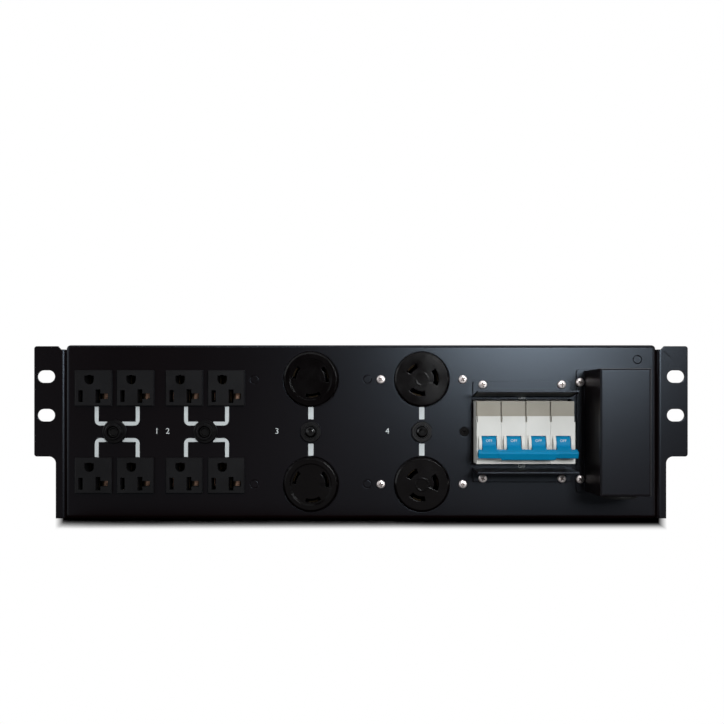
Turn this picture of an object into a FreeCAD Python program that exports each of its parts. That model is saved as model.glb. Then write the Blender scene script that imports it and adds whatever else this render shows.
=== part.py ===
"""Rack power distribution unit, three rack units high, as separate solids.

The pieces are drawn in the panel's own view: X runs to the right from the panel's
centre line, Y up from its bottom edge and Z out of its front face, towards the user.
Each piece is then seated in the part's frame, whose origin is the centre of the four
rack slots on the rear face of the ears: X right, Y to the back, Z up.
"""
import FreeCAD
import Part
import math
import os
import re

import Sketcher
from FreeCAD import Placement, Rotation, Vector

SIZES = {
    # Folded chassis and its rear cover
    "panel_height": 128,
    "chassis_depth": 90,
    "sheet": 1.5,
    "fold_radius": 2.5,
    "corner_radius": 3,
    "rear_flange": 12,
    "rear_cover_inset": 0.5,
    "rear_cover_corner": 3,
    "rear_screw_inset": 40,
    "left_margin": 7.3,
    "right_margin": 12.3,
    # Rack ears
    "ear_sheet": 2,
    "ear_width": 23.8,
    "ear_height": 81.5,
    "ear_drop": 0.8,
    "ear_leg_drop": 2.4,
    "ear_leg_depth": 58,
    "ear_bend": 1.9,
    "ear_lip": 7.9,
    "ear_corner": 2,
    "ear_root_fillet": 5,
    "ear_setback": 1.5,
    "ear_notch": 4.2,
    "ear_notch_slope": 2.2,
    "slot_offset": 15.05,
    "slot_drop": 36.7,
    "slot_spacing": 28.575,
    "slot_width": 9.2,
    "slot_length": 13.2,
    "ear_screw_rise": 22,
    "ear_screw_front": 16,
    "ear_screw_spread": 28,
    # Straight-blade outlets
    "outlet_width": 27,
    "outlet_height": 26.4,
    "outlet_proud": 2.5,
    "outlet_bevel": 0.6,
    "outlet_flange": 0.9,
    "outlet_depth": 27,
    "face_back": 3,
    "outlet_edge": 18.65,
    "outlet_pair_gap": 3.85,
    "outlet_group_gap": 9,
    "cutout_clearance": 0.3,
    "blade_drop": 5.9,
    "line_offset": 9.2,
    "blade_spacing": 12.8,
    "line_slot_width": 3.2,
    "line_slot_height": 8.8,
    "neutral_slot_width": 3.6,
    "neutral_slot_height": 10,
    "branch_reach": 7.3,
    "branch_height": 4,
    "earth_offset": 2.9,
    "earth_rise": 6.2,
    "earth_radius": 3.5,
    "earth_flat": 3,
    "chamber_margin": 0.7,
    # Contact clips
    "clip_sheet": 0.7,
    "clip_height": 6,
    "neutral_clip_height": 8,
    "clip_depth": 15,
    "clip_set_back": 6,
    "tongue_set_back": 2.5,
    "clip_clearance": 0.15,
    "blade_gap": 1.7,
    "earth_pin_gap": 4.8,
    "clip_tongue": 5.6,
    "line_tail_end": 1.1,
    "neutral_tail_end": 1,
    # Twist-lock outlets, their straps and contacts
    "lock_radius": 20,
    "lock_proud": 3,
    "lock_edge": 1.2,
    "lock_base_lip": 2.3,
    "lock_base_depth": 4,
    "lock_body_radius": 19,
    "lock_depth": 31,
    "lock_face": 3.5,
    "lock_clearance": 0.4,
    "lock_wall_gap": 1.6,
    "lock_recess": 1.2,
    "lock_recess_radius": 15.4,
    "lock_ring_radius": 5,
    "lock_ring_wall": 0.9,
    "lock_ring_height": 0.6,
    "pitch_30": 12.1,
    "pitch_20": 10.6,
    "slot_30": 2.7,
    "slot_20": 3.6,
    "hook_reach": 3.6,
    "hook_sweep": 15,
    "lock_contact_sheet": 0.9,
    "lock_contact_sweep": 30,
    "lock_tail": 2.5,
    "strap_sheet": 1.5,
    "strap_height": 14,
    "strap_end": 4.4,
    "strap_30_span": 83.3,
    "strap_20_span": 60.3,
    "strap_gap": 3.45,
    "strap_between": 1.1,
    # Thermal breakers with a reset button
    "reset_width": 15,
    "reset_lock_gap": 0.3,
    "reset_depth": 31,
    "neck_radius": 5.5,
    "neck_out": 2.2,
    "neck_clearance": 0.2,
    "button_radius": 4.15,
    "button_clearance": 0.3,
    "button_root": 6,
    "button_seat_gap": 0.2,
    "boot_radius": 8.75,
    "boot_height": 2.4,
    "boot_bevel": 0.8,
    "collar_wall": 1.6,
    "collar_height": 6.2,
    "collar_bevel": 0.6,
    "button_recess": 1.3,
    "button_dish": 0.6,
    "nut_radius": 7.75,
    "nut_flat": 7.1,
    "nut_height": 2.6,
    "nut_bevel": 0.5,
    "dome_height": 6,
    "dome_crown": 1.4,
    "tab_sheet": 0.8,
    "tab_width": 6.4,
    "tab_length": 8.5,
    "tab_spread": 9,
    # Four-pole input breaker
    "pole_pitch": 17.7,
    "pole_play": 0.15,
    "pole_wire_gap": 3.9,
    "nose_height": 45,
    "nose_out": 17,
    "nose_step": 1.5,
    "nose_step_height": 10.8,
    "shoulder": 7,
    "rail_seat": 51,
    "foot_depth": 4,
    "hook_play": 0.2,
    "hook_grip": 2,
    "breaker_gap": 3.65,
    "window_gap": 1.2,
    "notch_width": 0.8,
    "notch_height": 4.2,
    "seam_width": 0.5,
    "cheek_radius": 9.3,
    "cheek_width": 2,
    "notch_depth": 3,
    "well_radius": 3,
    "well_depth": 6,
    "well_inset": 8.5,
    "entry_depth": 8,
    "entry_clearance": 0.4,
    "pivot_drop": 8.7,
    "pivot_out": 10.5,
    "drum_radius": 8,
    "drum_clearance": 0.4,
    "toggle_width": 10,
    "toggle_tilt": 25,
    "window_half": 6.3,
    "lever_height": 4.4,
    "tie_root": 13.2,
    "tie_depth": 4.8,
    "tie_top": 2.6,
    "tie_bottom": 2.5,
    "tie_round": 1,
    "grip_proud": 0.6,
    "grip_top": 1.7,
    "grip_drop": 4,
    "grip_span": 42.7,
    "grip_slope": 2.9,
    "grip_chamfer": 1.4,
    # Rail that carries the input breaker
    "rail_height": 35,
    "rail_inner": 25,
    "rail_depth": 7.5,
    "rail_sheet": 1,
    "rail_end": 7,
    "rail_screw_offset": 6.9,
    "spacer_radius": 4.6,
    "spacer_bore": 2,
    "spacer_bore_depth": 9,
    # Guards above and below the breaker
    "guard_sheet": 1.5,
    "guard_width": 72.4,
    "guard_root": 26,
    "guard_depth": 27,
    "upper_guard_flange": 11.8,
    "upper_guard_flare": 3,
    "lower_guard_flange": 10.4,
    "lower_guard_flare": 1.2,
    "guard_bend": 1,
    "guard_screw_spread": 29,
    "guard_screw_edge": 2.6,
    "guard_drop": 0.5,
    # Terminal cover, terminal block and cable entry
    "cover_gap": 4.6,
    "cover_width": 35.2,
    "cover_height": 88,
    "cover_depth": 45,
    "cover_flange": 5.8,
    "cover_flange_extra": 1.2,
    "cover_fold": 1.5,
    "cover_rise": 0.8,
    "cover_corner": 2,
    "cover_screw_inset": 2.5,
    "cover_screw_spread": 35.6,
    "block_width": 26,
    "block_depth": 20,
    "block_end": 4,
    "bay_pitch": 16,
    "bay_wall": 2.4,
    "bay_depth": 9,
    "boss_width": 20,
    "boss_height": 62,
    "boss_length": 4,
    "boss_clearance": 0.4,
    "pin_radius": 1.6,
    "pin_stagger": 4.6,
    "terminal_head_radius": 3.6,
    "terminal_head_height": 2.4,
    "cable_out": 29.5,
    "cable_radius": 7.5,
    "grommet_seat": 10,
    "grommet_lip_radius": 12.3,
    "grommet_lip": 2.4,
    "grommet_clearance": 0.1,
    # Fasteners
    "screw_head_radius": 3.2,
    "screw_head_height": 2.2,
    "screw_radius": 1.7,
    "screw_length": 7,
    "screw_clearance": 0.2,
    "sunk_head_radius": 3.4,
    "stud_head_radius": 3.1,
    "stud_bevel": 0.3,
    "stud_radius": 1.9,
    "stud_length": 10,
    "stud_nut_radius": 4,
    "stud_nut_height": 3.2,
    "stud_clearance": 0.2,
    "earth_stud_inset": 13.7,
    "earth_stud_drop": 10.8,
    # Wiring
    "wire_radius": 2,
    "wire_bend": 5,
    "wire_lane": 4.5,
    "wire_plane": 37.5,
    "wire_wall_gap": 0.6,
    "bus_radius": 0.9,
    "bus_gap": 0.05,
    "bus_overhang": 3,
    "bus_outlet_gap": 1.1,
    "bus_step": 2.9,
    "jumper_offset": 9.5,
    "earth_jumper_wall_gap": 3.5,
    "neutral_jumper_gap": 1.5,
}

STATIONS = {
    # Places along the panel, each worked out from the one before it
    "panel_width": "left_margin + 4 * outlet_width + 2 * outlet_pair_gap + outlet_group_gap"
                   " - outlet_flange + strap_gap + strap_30_span + strap_between + strap_20_span"
                   " + 4 * strap_end + breaker_gap + 4 * pole_pitch + cover_gap + cover_width"
                   " + 2 * cover_flange + right_margin",
    "half_width": "panel_width / 2",
    "column_1": "left_margin + outlet_width / 2 - half_width",
    "column_2": "column_1 + outlet_width + outlet_pair_gap",
    "column_3": "column_2 + outlet_width + outlet_group_gap",
    "column_4": "column_3 + outlet_width + outlet_pair_gap",
    "bank_1": "(column_1 + column_2) / 2",
    "bank_2": "(column_3 + column_4) / 2",
    "bank_3": "column_4 + outlet_width / 2 - outlet_flange + strap_gap + strap_end + strap_30_span / 2",
    "bank_4": "bank_3 + strap_30_span / 2 + 2 * strap_end + strap_between + strap_20_span / 2",
    "pole_start": "bank_4 + strap_20_span / 2 + strap_end + breaker_gap",
    "breaker_centre": "pole_start + 2 * pole_pitch",
    "cover_start": "pole_start + 4 * pole_pitch + cover_gap",
    "cover_centre": "cover_start + cover_flange + cover_width / 2",
    # Heights above the panel's bottom edge
    "middle": "panel_height / 2",
    "guard_height": "middle - guard_drop",
    "upper_guard_screw": "guard_height + guard_root + upper_guard_flange - guard_screw_edge",
    "lower_guard_screw": "guard_height - guard_root - lower_guard_flange + guard_screw_edge",
    "cover_middle": "middle + cover_rise",
    "row_1": "panel_height - outlet_edge - outlet_height / 2",
    "row_2": "outlet_edge + outlet_height / 2",
    "lock_base_radius": "lock_radius + lock_base_lip",
    "lock_row_2": "sheet + lock_wall_gap + lock_base_radius",
    "lock_row_1": "panel_height - lock_row_2",
    "reset_height": "2 * (middle - lock_row_2 - lock_base_radius - reset_lock_gap)",
    "ear_top": "panel_height - ear_drop",
    "ear_leg_top": "ear_top - ear_leg_drop",
    "ear_bottom": "ear_top - ear_height",
    "slot_rise": "ear_top - slot_drop",
    # Depths behind the panel's front face
    "strap_back": "sheet + strap_sheet",
    "rail_back": "rail_seat + rail_depth",
    "rail_web": "rail_back - rail_sheet",
    "hook_front": "rail_seat + rail_sheet + hook_play",
    "foot_back": "rail_seat + foot_depth",
    "neutral_bus_depth": "outlet_depth + bus_outlet_gap + bus_radius",
    "line_bus_depth": "neutral_bus_depth + bus_step",
    "neutral_tail": "neutral_bus_depth + neutral_tail_end",
    "line_tail": "line_bus_depth + line_tail_end",
    # Fits
    "body_width": "outlet_width - 2 * outlet_flange",
    "body_height": "outlet_height - 2 * outlet_flange",
    "neck_hole": "neck_radius + neck_clearance",
    "button_bore": "button_radius + button_clearance",
    "collar_radius": "button_bore + collar_wall",
    "button_top": "collar_height - button_recess",
    "pole_width": "pole_pitch - pole_play",
    "rail_half": "rail_height / 2 + hook_play",
    "rail_rim": "rail_inner / 2",
    "screw_hole": "screw_radius + screw_clearance",
    "stud_hole": "stud_radius + stud_clearance",
    "block_height": "4 * bay_pitch + 2 * block_end",
    "neutral_x": "blade_spacing - line_offset",
    "top_lane": "panel_height - sheet - wire_wall_gap - wire_radius",
    "bottom_lane": "sheet + wire_wall_gap + wire_radius",
    "pole_height": "2 * (top_lane - 3 * wire_lane - wire_radius - pole_wire_gap - middle)",
    "well_rise": "pole_height / 2 - well_inset",
}

NAMES = set(SIZES) | set(STATIONS)
WORD = re.compile(r"[a-z][a-z0-9_]*")
NODES = {}

doc = FreeCAD.newDocument("power_distribution_unit")
sheet = doc.addObject("Spreadsheet::Sheet", "Sizes")


def fill_sheet():
    """Write the driving sizes, then the stations worked out from them, under their names."""
    cells = [(name, str(value)) for name, value in SIZES.items()]
    cells += [(name, "=" + text) for name, text in STATIONS.items()]
    for row, (name, text) in enumerate(cells, start=1):
        sheet.set(f"A{row}", name)
        sheet.set(f"B{row}", text)
        sheet.setAlias(f"B{row}", name)
    doc.recompute()


def formula(text):
    """Turn a formula of size names into an expression that reads their cells."""
    return WORD.sub(lambda word: f"Sizes.{word[0]}" if word[0] in NAMES else word[0], str(text))


def bind(obj, **formulas):
    """Tie properties to formulas; a double underscore stands for a dot in the property's path."""
    for path, text in formulas.items():
        obj.setExpression(path.replace("__", "."), formula(text))
    return obj


def read(name):
    """Present value of a size or a station."""
    return float(sheet.get(name))


def seat(obj, x="0", rise="0", out="0", turn=90, axis=Vector(1, 0, 0)):
    """Seat a piece drawn in the panel's view; turn 90 faces it to the front and -90 to the back."""
    obj.Placement = Placement(Vector(), Rotation(axis, turn))
    return bind(obj, Placement__Base__x=x, Placement__Base__y=f"0 - ear_setback - ear_sheet - ({out})",
                Placement__Base__z=f"{rise} - slot_rise")


def node(name, obj):
    """Enter a finished piece under its own name."""
    obj.Label = name
    NODES[name] = obj
    return obj


def body_named(name):
    """Start a piece that is built up from sketches."""
    return doc.addObject("PartDesign::Body", name)


def sketch_on(body, plane="XY_Plane", offset="0"):
    """Sketch on one of the piece's own planes, moved along the plane's normal."""
    sketch = body.newObject("Sketcher::SketchObject", "Sketch")
    origin = next(item for item in body.Origin.OriginFeatures if item.Role == plane)
    sketch.AttachmentSupport = [(origin, "")]
    sketch.MapMode = "FlatFace"
    return bind(sketch, AttachmentOffset__Base__z=offset)


def pin_down(sketch, geometry, point, place):
    """Fix a sketch point at a pair of formulas."""
    for kind, text in zip(("DistanceX", "DistanceY"), place):
        index = sketch.addConstraint(Sketcher.Constraint(kind, -1, 1, geometry, point, 1.0))
        sketch.setExpression(f"Constraints[{index}]", formula(text))


def outline(sketch, *corners):
    """Closed outline of straight lines through corners given as pairs of formulas."""
    first = sketch.GeometryCount
    count = len(corners)
    rough = [Vector(math.cos(step * math.tau / count), math.sin(step * math.tau / count), 0) * 9
             for step in range(count)]
    for step in range(count):
        sketch.addGeometry(Part.LineSegment(rough[step], rough[(step + 1) % count]), False)
    for step in range(count):
        after = first + (step + 1) % count
        sketch.addConstraint(Sketcher.Constraint("Coincident", first + step, 2, after, 1))
    for step, corner in enumerate(corners):
        pin_down(sketch, first + step, 1, corner)


def rectangle(sketch, x, y, width, height):
    """Rectangle round a centre."""
    left, right = (f"{x} - ({width}) / 2", f"{x} + ({width}) / 2")
    low, high = (f"{y} - ({height}) / 2", f"{y} + ({height}) / 2")
    outline(sketch, (left, low), (right, low), (right, high), (left, high))


def circle(sketch, x, y, radius):
    """Full circle round a centre."""
    index = sketch.addGeometry(Part.Circle(Vector(1, 1, 0), Vector(0, 0, 1), 2), False)
    pin_down(sketch, index, 3, (x, y))
    size = sketch.addConstraint(Sketcher.Constraint("Radius", index, 2.0))
    sketch.setExpression(f"Constraints[{size}]", formula(radius))


def pad(body, sketch, length, back=False):
    """Add material along the sketch's normal, or against it."""
    feature = body.newObject("PartDesign::Pad", "Pad")
    feature.Profile = sketch
    feature.Reversed = back
    return bind(feature, Length=length)


def pocket(body, sketch, depth=None, along=False):
    """Cut against the sketch's normal, or along it; with no depth the cut goes right through."""
    feature = body.newObject("PartDesign::Pocket", "Pocket")
    feature.Profile = sketch
    feature.Reversed = along
    if depth is None:
        feature.Type = "ThroughAll"
    else:
        bind(feature, Length=depth)
    return feature


def turned(name, *profile):
    """Piece turned about Z from a profile of radius and height."""
    body = body_named(name)
    sketch = sketch_on(body, "XZ_Plane")
    outline(sketch, *profile)
    feature = body.newObject("PartDesign::Revolution", "Turning")
    feature.Profile = sketch
    feature.ReferenceAxis = (sketch, ["V_Axis"])
    feature.Angle = 360
    return body


def dress(body, kind, size, wanted):
    """Round or bevel those edges of the piece so far that the test picks out."""
    doc.recompute()
    base = body.Tip
    names = [f"Edge{index}" for index, edge in enumerate(base.Shape.Edges, start=1) if wanted(edge)]
    feature = body.newObject(f"PartDesign::{kind}", kind)
    feature.Base = (base, names)
    return bind(feature, **{"Radius" if kind == "Fillet" else "Size": size})


def near(edge, **places):
    """True where an edge's middle lies at the given coordinates."""
    return all(abs(getattr(edge.CenterOfMass, axis) - place) < 1e-4 for axis, place in places.items())


def runs(edge, axis):
    """True for a straight edge along one axis."""
    first, last = (edge.Vertexes[0].Point, edge.Vertexes[-1].Point)
    length = (last - first).Length
    return abs(edge.Length - length) < 1e-6 and abs(abs(getattr(last - first, axis)) - length) < 1e-6


def copies(source, places, turn=90, out="0"):
    """Copies of one piece, each seated at its own x and height."""
    made = []
    for x, rise in places:
        link = doc.addObject("App::Link", "Copy")
        link.LinkedObject = source
        made.append(seat(link, x, rise, out, turn))
    return made


def group(name, members):
    """Node of several separate solids."""
    compound = doc.addObject("Part::Compound", name)
    compound.Links = members
    return node(name, compound)


def cylinder(radius, length, x="0", y="0", z="0", angle="360", start="0"):
    """Round bar along Z, or a wedge of one, from a start angle."""
    bar = doc.addObject("Part::Cylinder", "Bar")
    bar.Placement = Placement(Vector(), Rotation(Vector(0, 0, 1), 1))
    return bind(bar, Radius=radius, Height=length, Angle=angle, Placement__Base__x=x,
                Placement__Base__y=y, Placement__Base__z=z, Placement__Rotation__Angle=start)


def combine(kind, first, second):
    """Cut or fuse of two pieces."""
    result = doc.addObject(f"Part::{kind}", kind)
    result.Base = first
    result.Tool = second
    return result


def joined(members):
    """One tool made of several."""
    fusion = doc.addObject("Part::MultiFuse", "Joined")
    fusion.Shapes = members
    return fusion


def sector(pitch, width, middle, sweep, z, length):
    """Piece of a ring: its pitch radius, radial width, middle angle and sweep."""
    start = f"{middle} - ({sweep}) / 2"
    outer = cylinder(f"{pitch} + ({width}) / 2", length, z=z, angle=sweep, start=start)
    inner = cylinder(f"{pitch} - ({width}) / 2", length, z=z)
    return combine("Cut", outer, inner)


COLUMNS = [f"column_{index}" for index in (1, 2, 3, 4)]
OUTLETS = [(column, row) for row in ("row_1", "row_2") for column in COLUMNS]
LOCKS = [("bank_3", "lock_row_1", 30), ("bank_3", "lock_row_2", 30),
         ("bank_4", "lock_row_1", 20), ("bank_4", "lock_row_2", 20)]
BANKS = [f"bank_{index}" for index in (1, 2, 3, 4)]
POLES = [f"pole_start + {2 * index + 1} * pole_pitch / 2" for index in range(4)]
REAR_SCREWS = [(x, rise) for x in ("rear_screw_inset - half_width", "0", "half_width - rear_screw_inset")
               for rise in ("rear_flange / 2", "panel_height - rear_flange / 2")]
EAR_SCREWS = [(rise, depth) for rise in ("ear_screw_rise", "panel_height - ear_screw_rise")
              for depth in ("ear_screw_front", "ear_screw_front + ear_screw_spread")]
STRAP_SCREWS = [(f"bank_4 {side} strap_20_span / 2", row)
                for side in "-+" for row in ("lock_row_1", "lock_row_2")]
STRAP_STUDS = [(f"bank_3 {side} strap_30_span / 2", row)
               for side in "-+" for row in ("lock_row_1", "lock_row_2")]
EARTH_STUD = ("half_width - earth_stud_inset", "panel_height - earth_stud_drop")
GUARD_SCREWS = [(f"breaker_centre {side} guard_screw_spread", f"{level}_guard_screw")
                for side in "-+" for level in ("lower", "upper")]
COVER_SCREWS = [(x, f"cover_middle {level} cover_screw_spread")
                for x in ("cover_start + cover_screw_inset",
                          "cover_start + 2 * cover_flange + cover_width - cover_screw_inset")
                for level in "-+"]
RAIL_SCREWS = [("pole_start - rail_screw_offset", "middle"),
               ("pole_start + 4 * pole_pitch + rail_screw_offset", "middle")]


def build_chassis():
    """Folded box, open at the back inside a flange, with every cut-out of its panel."""
    body = body_named("chassis_shell")
    block = sketch_on(body)
    rectangle(block, "0", "middle", "panel_width", "panel_height")
    pad(body, block, "chassis_depth", back=True)
    dress(body, "Fillet", "corner_radius", lambda edge: runs(edge, "z"))
    dress(body, "Fillet", "fold_radius", lambda edge: near(edge, z=0))
    hollow = sketch_on(body, offset="sheet - chassis_depth")
    rectangle(hollow, "0", "middle", "panel_width - 2 * sheet", "panel_height - 2 * sheet")
    pocket(body, hollow, "chassis_depth - 2 * sheet", along=True)
    mouth = sketch_on(body, offset="0 - chassis_depth")
    rectangle(mouth, "0", "middle", "panel_width - 2 * rear_flange", "panel_height - 2 * rear_flange")
    pocket(body, mouth, "sheet", along=True)

    openings = sketch_on(body)
    for x, rise in OUTLETS:
        rectangle(openings, x, rise, "body_width + 2 * cutout_clearance",
                  "body_height + 2 * cutout_clearance")
    rectangle(openings, "breaker_centre", "middle", "4 * pole_pitch + 2 * window_gap",
              "nose_height + 2 * window_gap")
    rectangle(openings, "cover_centre", "cover_middle", "boss_width + 2 * boss_clearance",
              "boss_height + 2 * boss_clearance")
    for x, rise, rating in LOCKS:
        circle(openings, x, rise, "lock_radius + lock_clearance")
    for x in BANKS:
        circle(openings, x, "middle", "neck_hole")
    for x, rise in STRAP_SCREWS + GUARD_SCREWS + COVER_SCREWS + RAIL_SCREWS:
        circle(openings, x, rise, "screw_hole")
    for x, rise in STRAP_STUDS + [EARTH_STUD]:
        circle(openings, x, rise, "stud_head_radius")
    pocket(body, openings, "2 * sheet")

    sinks = sketch_on(body)
    for x, rise in RAIL_SCREWS:
        circle(sinks, x, rise, "sunk_head_radius + screw_clearance")
    sink = pocket(body, sinks, "sheet")
    sink.TaperAngle = -45

    side_holes = sketch_on(body, "YZ_Plane", "half_width")
    for rise, depth in EAR_SCREWS:
        circle(side_holes, rise, f"0 - ({depth})", "screw_hole")
    pocket(body, side_holes)

    rear_holes = sketch_on(body, offset="0 - chassis_depth")
    for x, rise in REAR_SCREWS:
        circle(rear_holes, x, rise, "screw_hole")
    pocket(body, rear_holes, "2 * sheet", along=True)
    node("chassis_shell", seat(body))


def build_rear_cover():
    """Flat lid over the chassis's mouth, and its screws."""
    body = body_named("rear_cover")
    plate = sketch_on(body, offset="0 - chassis_depth")
    rectangle(plate, "0", "middle", "panel_width - 2 * rear_cover_inset",
              "panel_height - 2 * rear_cover_inset")
    pad(body, plate, "sheet", back=True)
    dress(body, "Fillet", "rear_cover_corner", lambda edge: runs(edge, "z"))
    holes = sketch_on(body, offset="0 - chassis_depth")
    for x, rise in REAR_SCREWS:
        circle(holes, x, rise, "screw_hole")
    pocket(body, holes)
    node("rear_cover", seat(body))


def pan_screw(name):
    """Pan-head screw whose head sits on Z 0."""
    return turned(name, ("0", "0 - screw_length"), ("screw_radius", "0 - screw_length"),
                  ("screw_radius", "0"),
                  ("screw_head_radius", "0"), ("screw_head_radius", "screw_head_height"),
                  ("0", "screw_head_height"))


def build_screws():
    """Pan screws of the panel, the rear cover and the ears."""
    screw = pan_screw("pan_screw")
    front = copies(screw, STRAP_SCREWS)
    front += copies(screw, GUARD_SCREWS, out="guard_sheet")
    front += copies(screw, COVER_SCREWS, out="sheet")
    group("panel_screws", front)
    group("rear_cover_screws", copies(screw, REAR_SCREWS, turn=-90, out="0 - chassis_depth - sheet"))
    side = []
    for sign in (-1, 1):
        for rise, depth in EAR_SCREWS:
            link = doc.addObject("App::Link", "Copy")
            link.LinkedObject = screw
            link.Placement = Placement(Vector(), Rotation(Vector(0, 1, 0), sign * 90))
            bind(link, Placement__Base__x=f"{sign} * (half_width + ear_sheet)",
                 Placement__Base__y=f"{depth} - ear_setback - ear_sheet",
                 Placement__Base__z=f"{rise} - slot_rise")
            side.append(link)
    group("ear_screws", side)


def build_ears():
    """Bent rack ear with two slots on the right, and its mirror image on the left."""
    body = body_named("rack_ear_right")
    profile = sketch_on(body, "XZ_Plane")
    front = "0 - ear_setback"
    back = "0 - ear_setback - ear_sheet"
    outline(profile, ("half_width", "0 - ear_leg_depth"), ("half_width", front),
            ("half_width + ear_width", front), ("half_width + ear_width", back),
            ("half_width + ear_sheet", back), ("half_width + ear_sheet", "0 - ear_leg_depth"))
    pad(body, profile, "ear_top", back=True)
    half, width = (read("half_width"), read("ear_width"))
    setback, gauge = (read("ear_setback"), read("ear_sheet"))
    dress(body, "Fillet", "ear_bend + ear_sheet",
          lambda edge: runs(edge, "y") and near(edge, x=half, z=-setback))
    dress(body, "Fillet", "ear_bend",
          lambda edge: runs(edge, "y") and near(edge, x=half + gauge, z=-setback - gauge))
    below = sketch_on(body)
    outline(below, ("half_width + ear_lip", "0 - sheet"), ("half_width + 2 * ear_width", "0 - sheet"),
            ("half_width + 2 * ear_width", "ear_bottom"), ("half_width + ear_lip", "ear_bottom"))
    pocket(body, below)
    notch = sketch_on(body)
    outline(notch, ("half_width - sheet", "ear_leg_top"), ("half_width + ear_notch", "ear_leg_top"),
            ("half_width + ear_notch + ear_notch_slope", "ear_top"), ("half_width - sheet", "ear_top"))
    pocket(body, notch)
    low, high = (read("ear_bottom"), read("ear_top"))
    lip = half + read("ear_lip")
    dress(body, "Fillet", "ear_root_fillet", lambda edge: runs(edge, "z") and near(edge, x=lip, y=low))
    dress(body, "Fillet", "ear_corner",
          lambda edge: runs(edge, "z") and any(near(edge, x=half + width, y=y) for y in (low, high)))
    flats = sketch_on(body)
    rounds = sketch_on(body)
    for side in "-+":
        rise = f"slot_rise {side} slot_spacing / 2"
        rectangle(flats, "half_width + slot_offset", rise, "slot_length - slot_width", "slot_width")
        for end in "-+":
            circle(rounds, f"half_width + slot_offset {end} (slot_length - slot_width) / 2", rise,
                   "slot_width / 2")
    pocket(body, flats)
    pocket(body, rounds)
    holes = sketch_on(body, "YZ_Plane", "half_width + ear_width")
    for rise, depth in EAR_SCREWS:
        circle(holes, rise, f"0 - ({depth})", "screw_hole")
    pocket(body, holes)
    node("rack_ear_right", seat(body))
    mirror = doc.addObject("Part::Mirroring", "rack_ear_left")
    mirror.Source = body
    mirror.Normal = Vector(1, 0, 0)
    node("rack_ear_left", mirror)


def build_outlet(number, x, rise):
    """Moulded outlet front: bevelled face with two blade slots and a round earth hole through it."""
    body = body_named(f"outlet_{number}")
    face = sketch_on(body)
    rectangle(face, "0", "0", "outlet_width", "outlet_height")
    pad(body, face, "outlet_proud")
    proud = read("outlet_proud")
    dress(body, "Chamfer", "outlet_bevel", lambda edge: near(edge, z=proud))
    neck = sketch_on(body)
    rectangle(neck, "0", "0", "body_width", "body_height")
    pad(body, neck, "face_back", back=True)

    slots = sketch_on(body, offset="outlet_proud")
    rectangle(slots, "0 - line_offset", "0 - blade_drop", "line_slot_width", "line_slot_height")
    left, right = ("neutral_x - neutral_slot_width / 2", "neutral_x + neutral_slot_width / 2")
    low, high = ("0 - blade_drop - neutral_slot_height / 2", "neutral_slot_height / 2 - blade_drop")
    under, over = ("0 - blade_drop - branch_height / 2", "branch_height / 2 - blade_drop")
    outline(slots, (left, low), (right, low), (right, under), ("neutral_x + branch_reach", under),
            ("neutral_x + branch_reach", over), (right, over), (right, high), (left, high))
    circle(slots, "0 - earth_offset", "earth_rise", "earth_radius")
    pocket(body, slots)
    flat = sketch_on(body, offset="outlet_proud")
    rectangle(flat, "0 - earth_offset", "earth_rise + earth_flat / 2", "2 * earth_radius", "earth_flat")
    pocket(body, flat)
    node(f"outlet_{number}", seat(body, x, rise))


def build_outlet_housings():
    """Rear housing of every outlet: a block with three contact chambers, or a round slotted body."""
    body = body_named("housing")
    block = sketch_on(body, offset="0 - face_back")
    rectangle(block, "0", "0", "body_width", "body_height")
    pad(body, block, "outlet_depth - face_back", back=True)
    left = "neutral_x - neutral_slot_width / 2"
    chambers = sketch_on(body, offset="0 - face_back")
    rectangle(chambers, "0 - line_offset", "0 - blade_drop", "line_slot_width + 2 * chamber_margin",
              "line_slot_height + 2 * chamber_margin")
    wide = "neutral_slot_width / 2 + branch_reach + 2 * chamber_margin"
    rectangle(chambers, f"{left} - chamber_margin + ({wide}) / 2", "0 - blade_drop", wide,
              "neutral_slot_height + 2 * chamber_margin")
    rectangle(chambers, "0 - earth_offset", "earth_rise", "2 * earth_radius + 2 * chamber_margin",
              "2 * earth_radius + 2 * chamber_margin")
    pocket(body, chambers)
    group("outlet_housings", copies(body, OUTLETS) + locking_housings())


def contact_clip(name, x, y, gap, web, height, tail, set_back, tongue="0"):
    """Spring clip of folded brass: two legs, a web that fits its chamber, and a tail."""
    body = body_named(name)
    profile = sketch_on(body, "XZ_Plane", f"0 - ({y}) - ({height}) / 2")
    front = f"0 - face_back - clip_clearance - {set_back}"
    root = "0 - face_back - clip_clearance - clip_depth"
    end = f"{root} - clip_sheet"
    inner, outer = (f"({gap}) / 2", f"({gap}) / 2 + clip_sheet")
    thin = "clip_sheet / 2"
    lip = f"{outer} + {tongue}"
    outline(profile, (f"{x} - ({outer})", front), (f"{x} - ({inner})", front), (f"{x} - ({inner})", root),
            (f"{x} + {inner}", root), (f"{x} + {inner}", front), (f"{x} + {lip}", front),
            (f"{x} + {lip}", f"{front} - clip_sheet"), (f"{x} + {outer}", f"{front} - 2 * clip_sheet"),
            (f"{x} + {outer}", root), (f"{x} + {web[1]}", root), (f"{x} + {web[1]}", end),
            (f"{x} + {thin}", end), (f"{x} + {thin}", f"0 - {tail}"), (f"{x} - {thin}", f"0 - {tail}"),
            (f"{x} - {thin}", end), (f"{x} - ({web[0]})", end), (f"{x} - ({web[0]})", root),
            (f"{x} - ({outer})", root))
    pad(body, profile, height)
    return body


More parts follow.
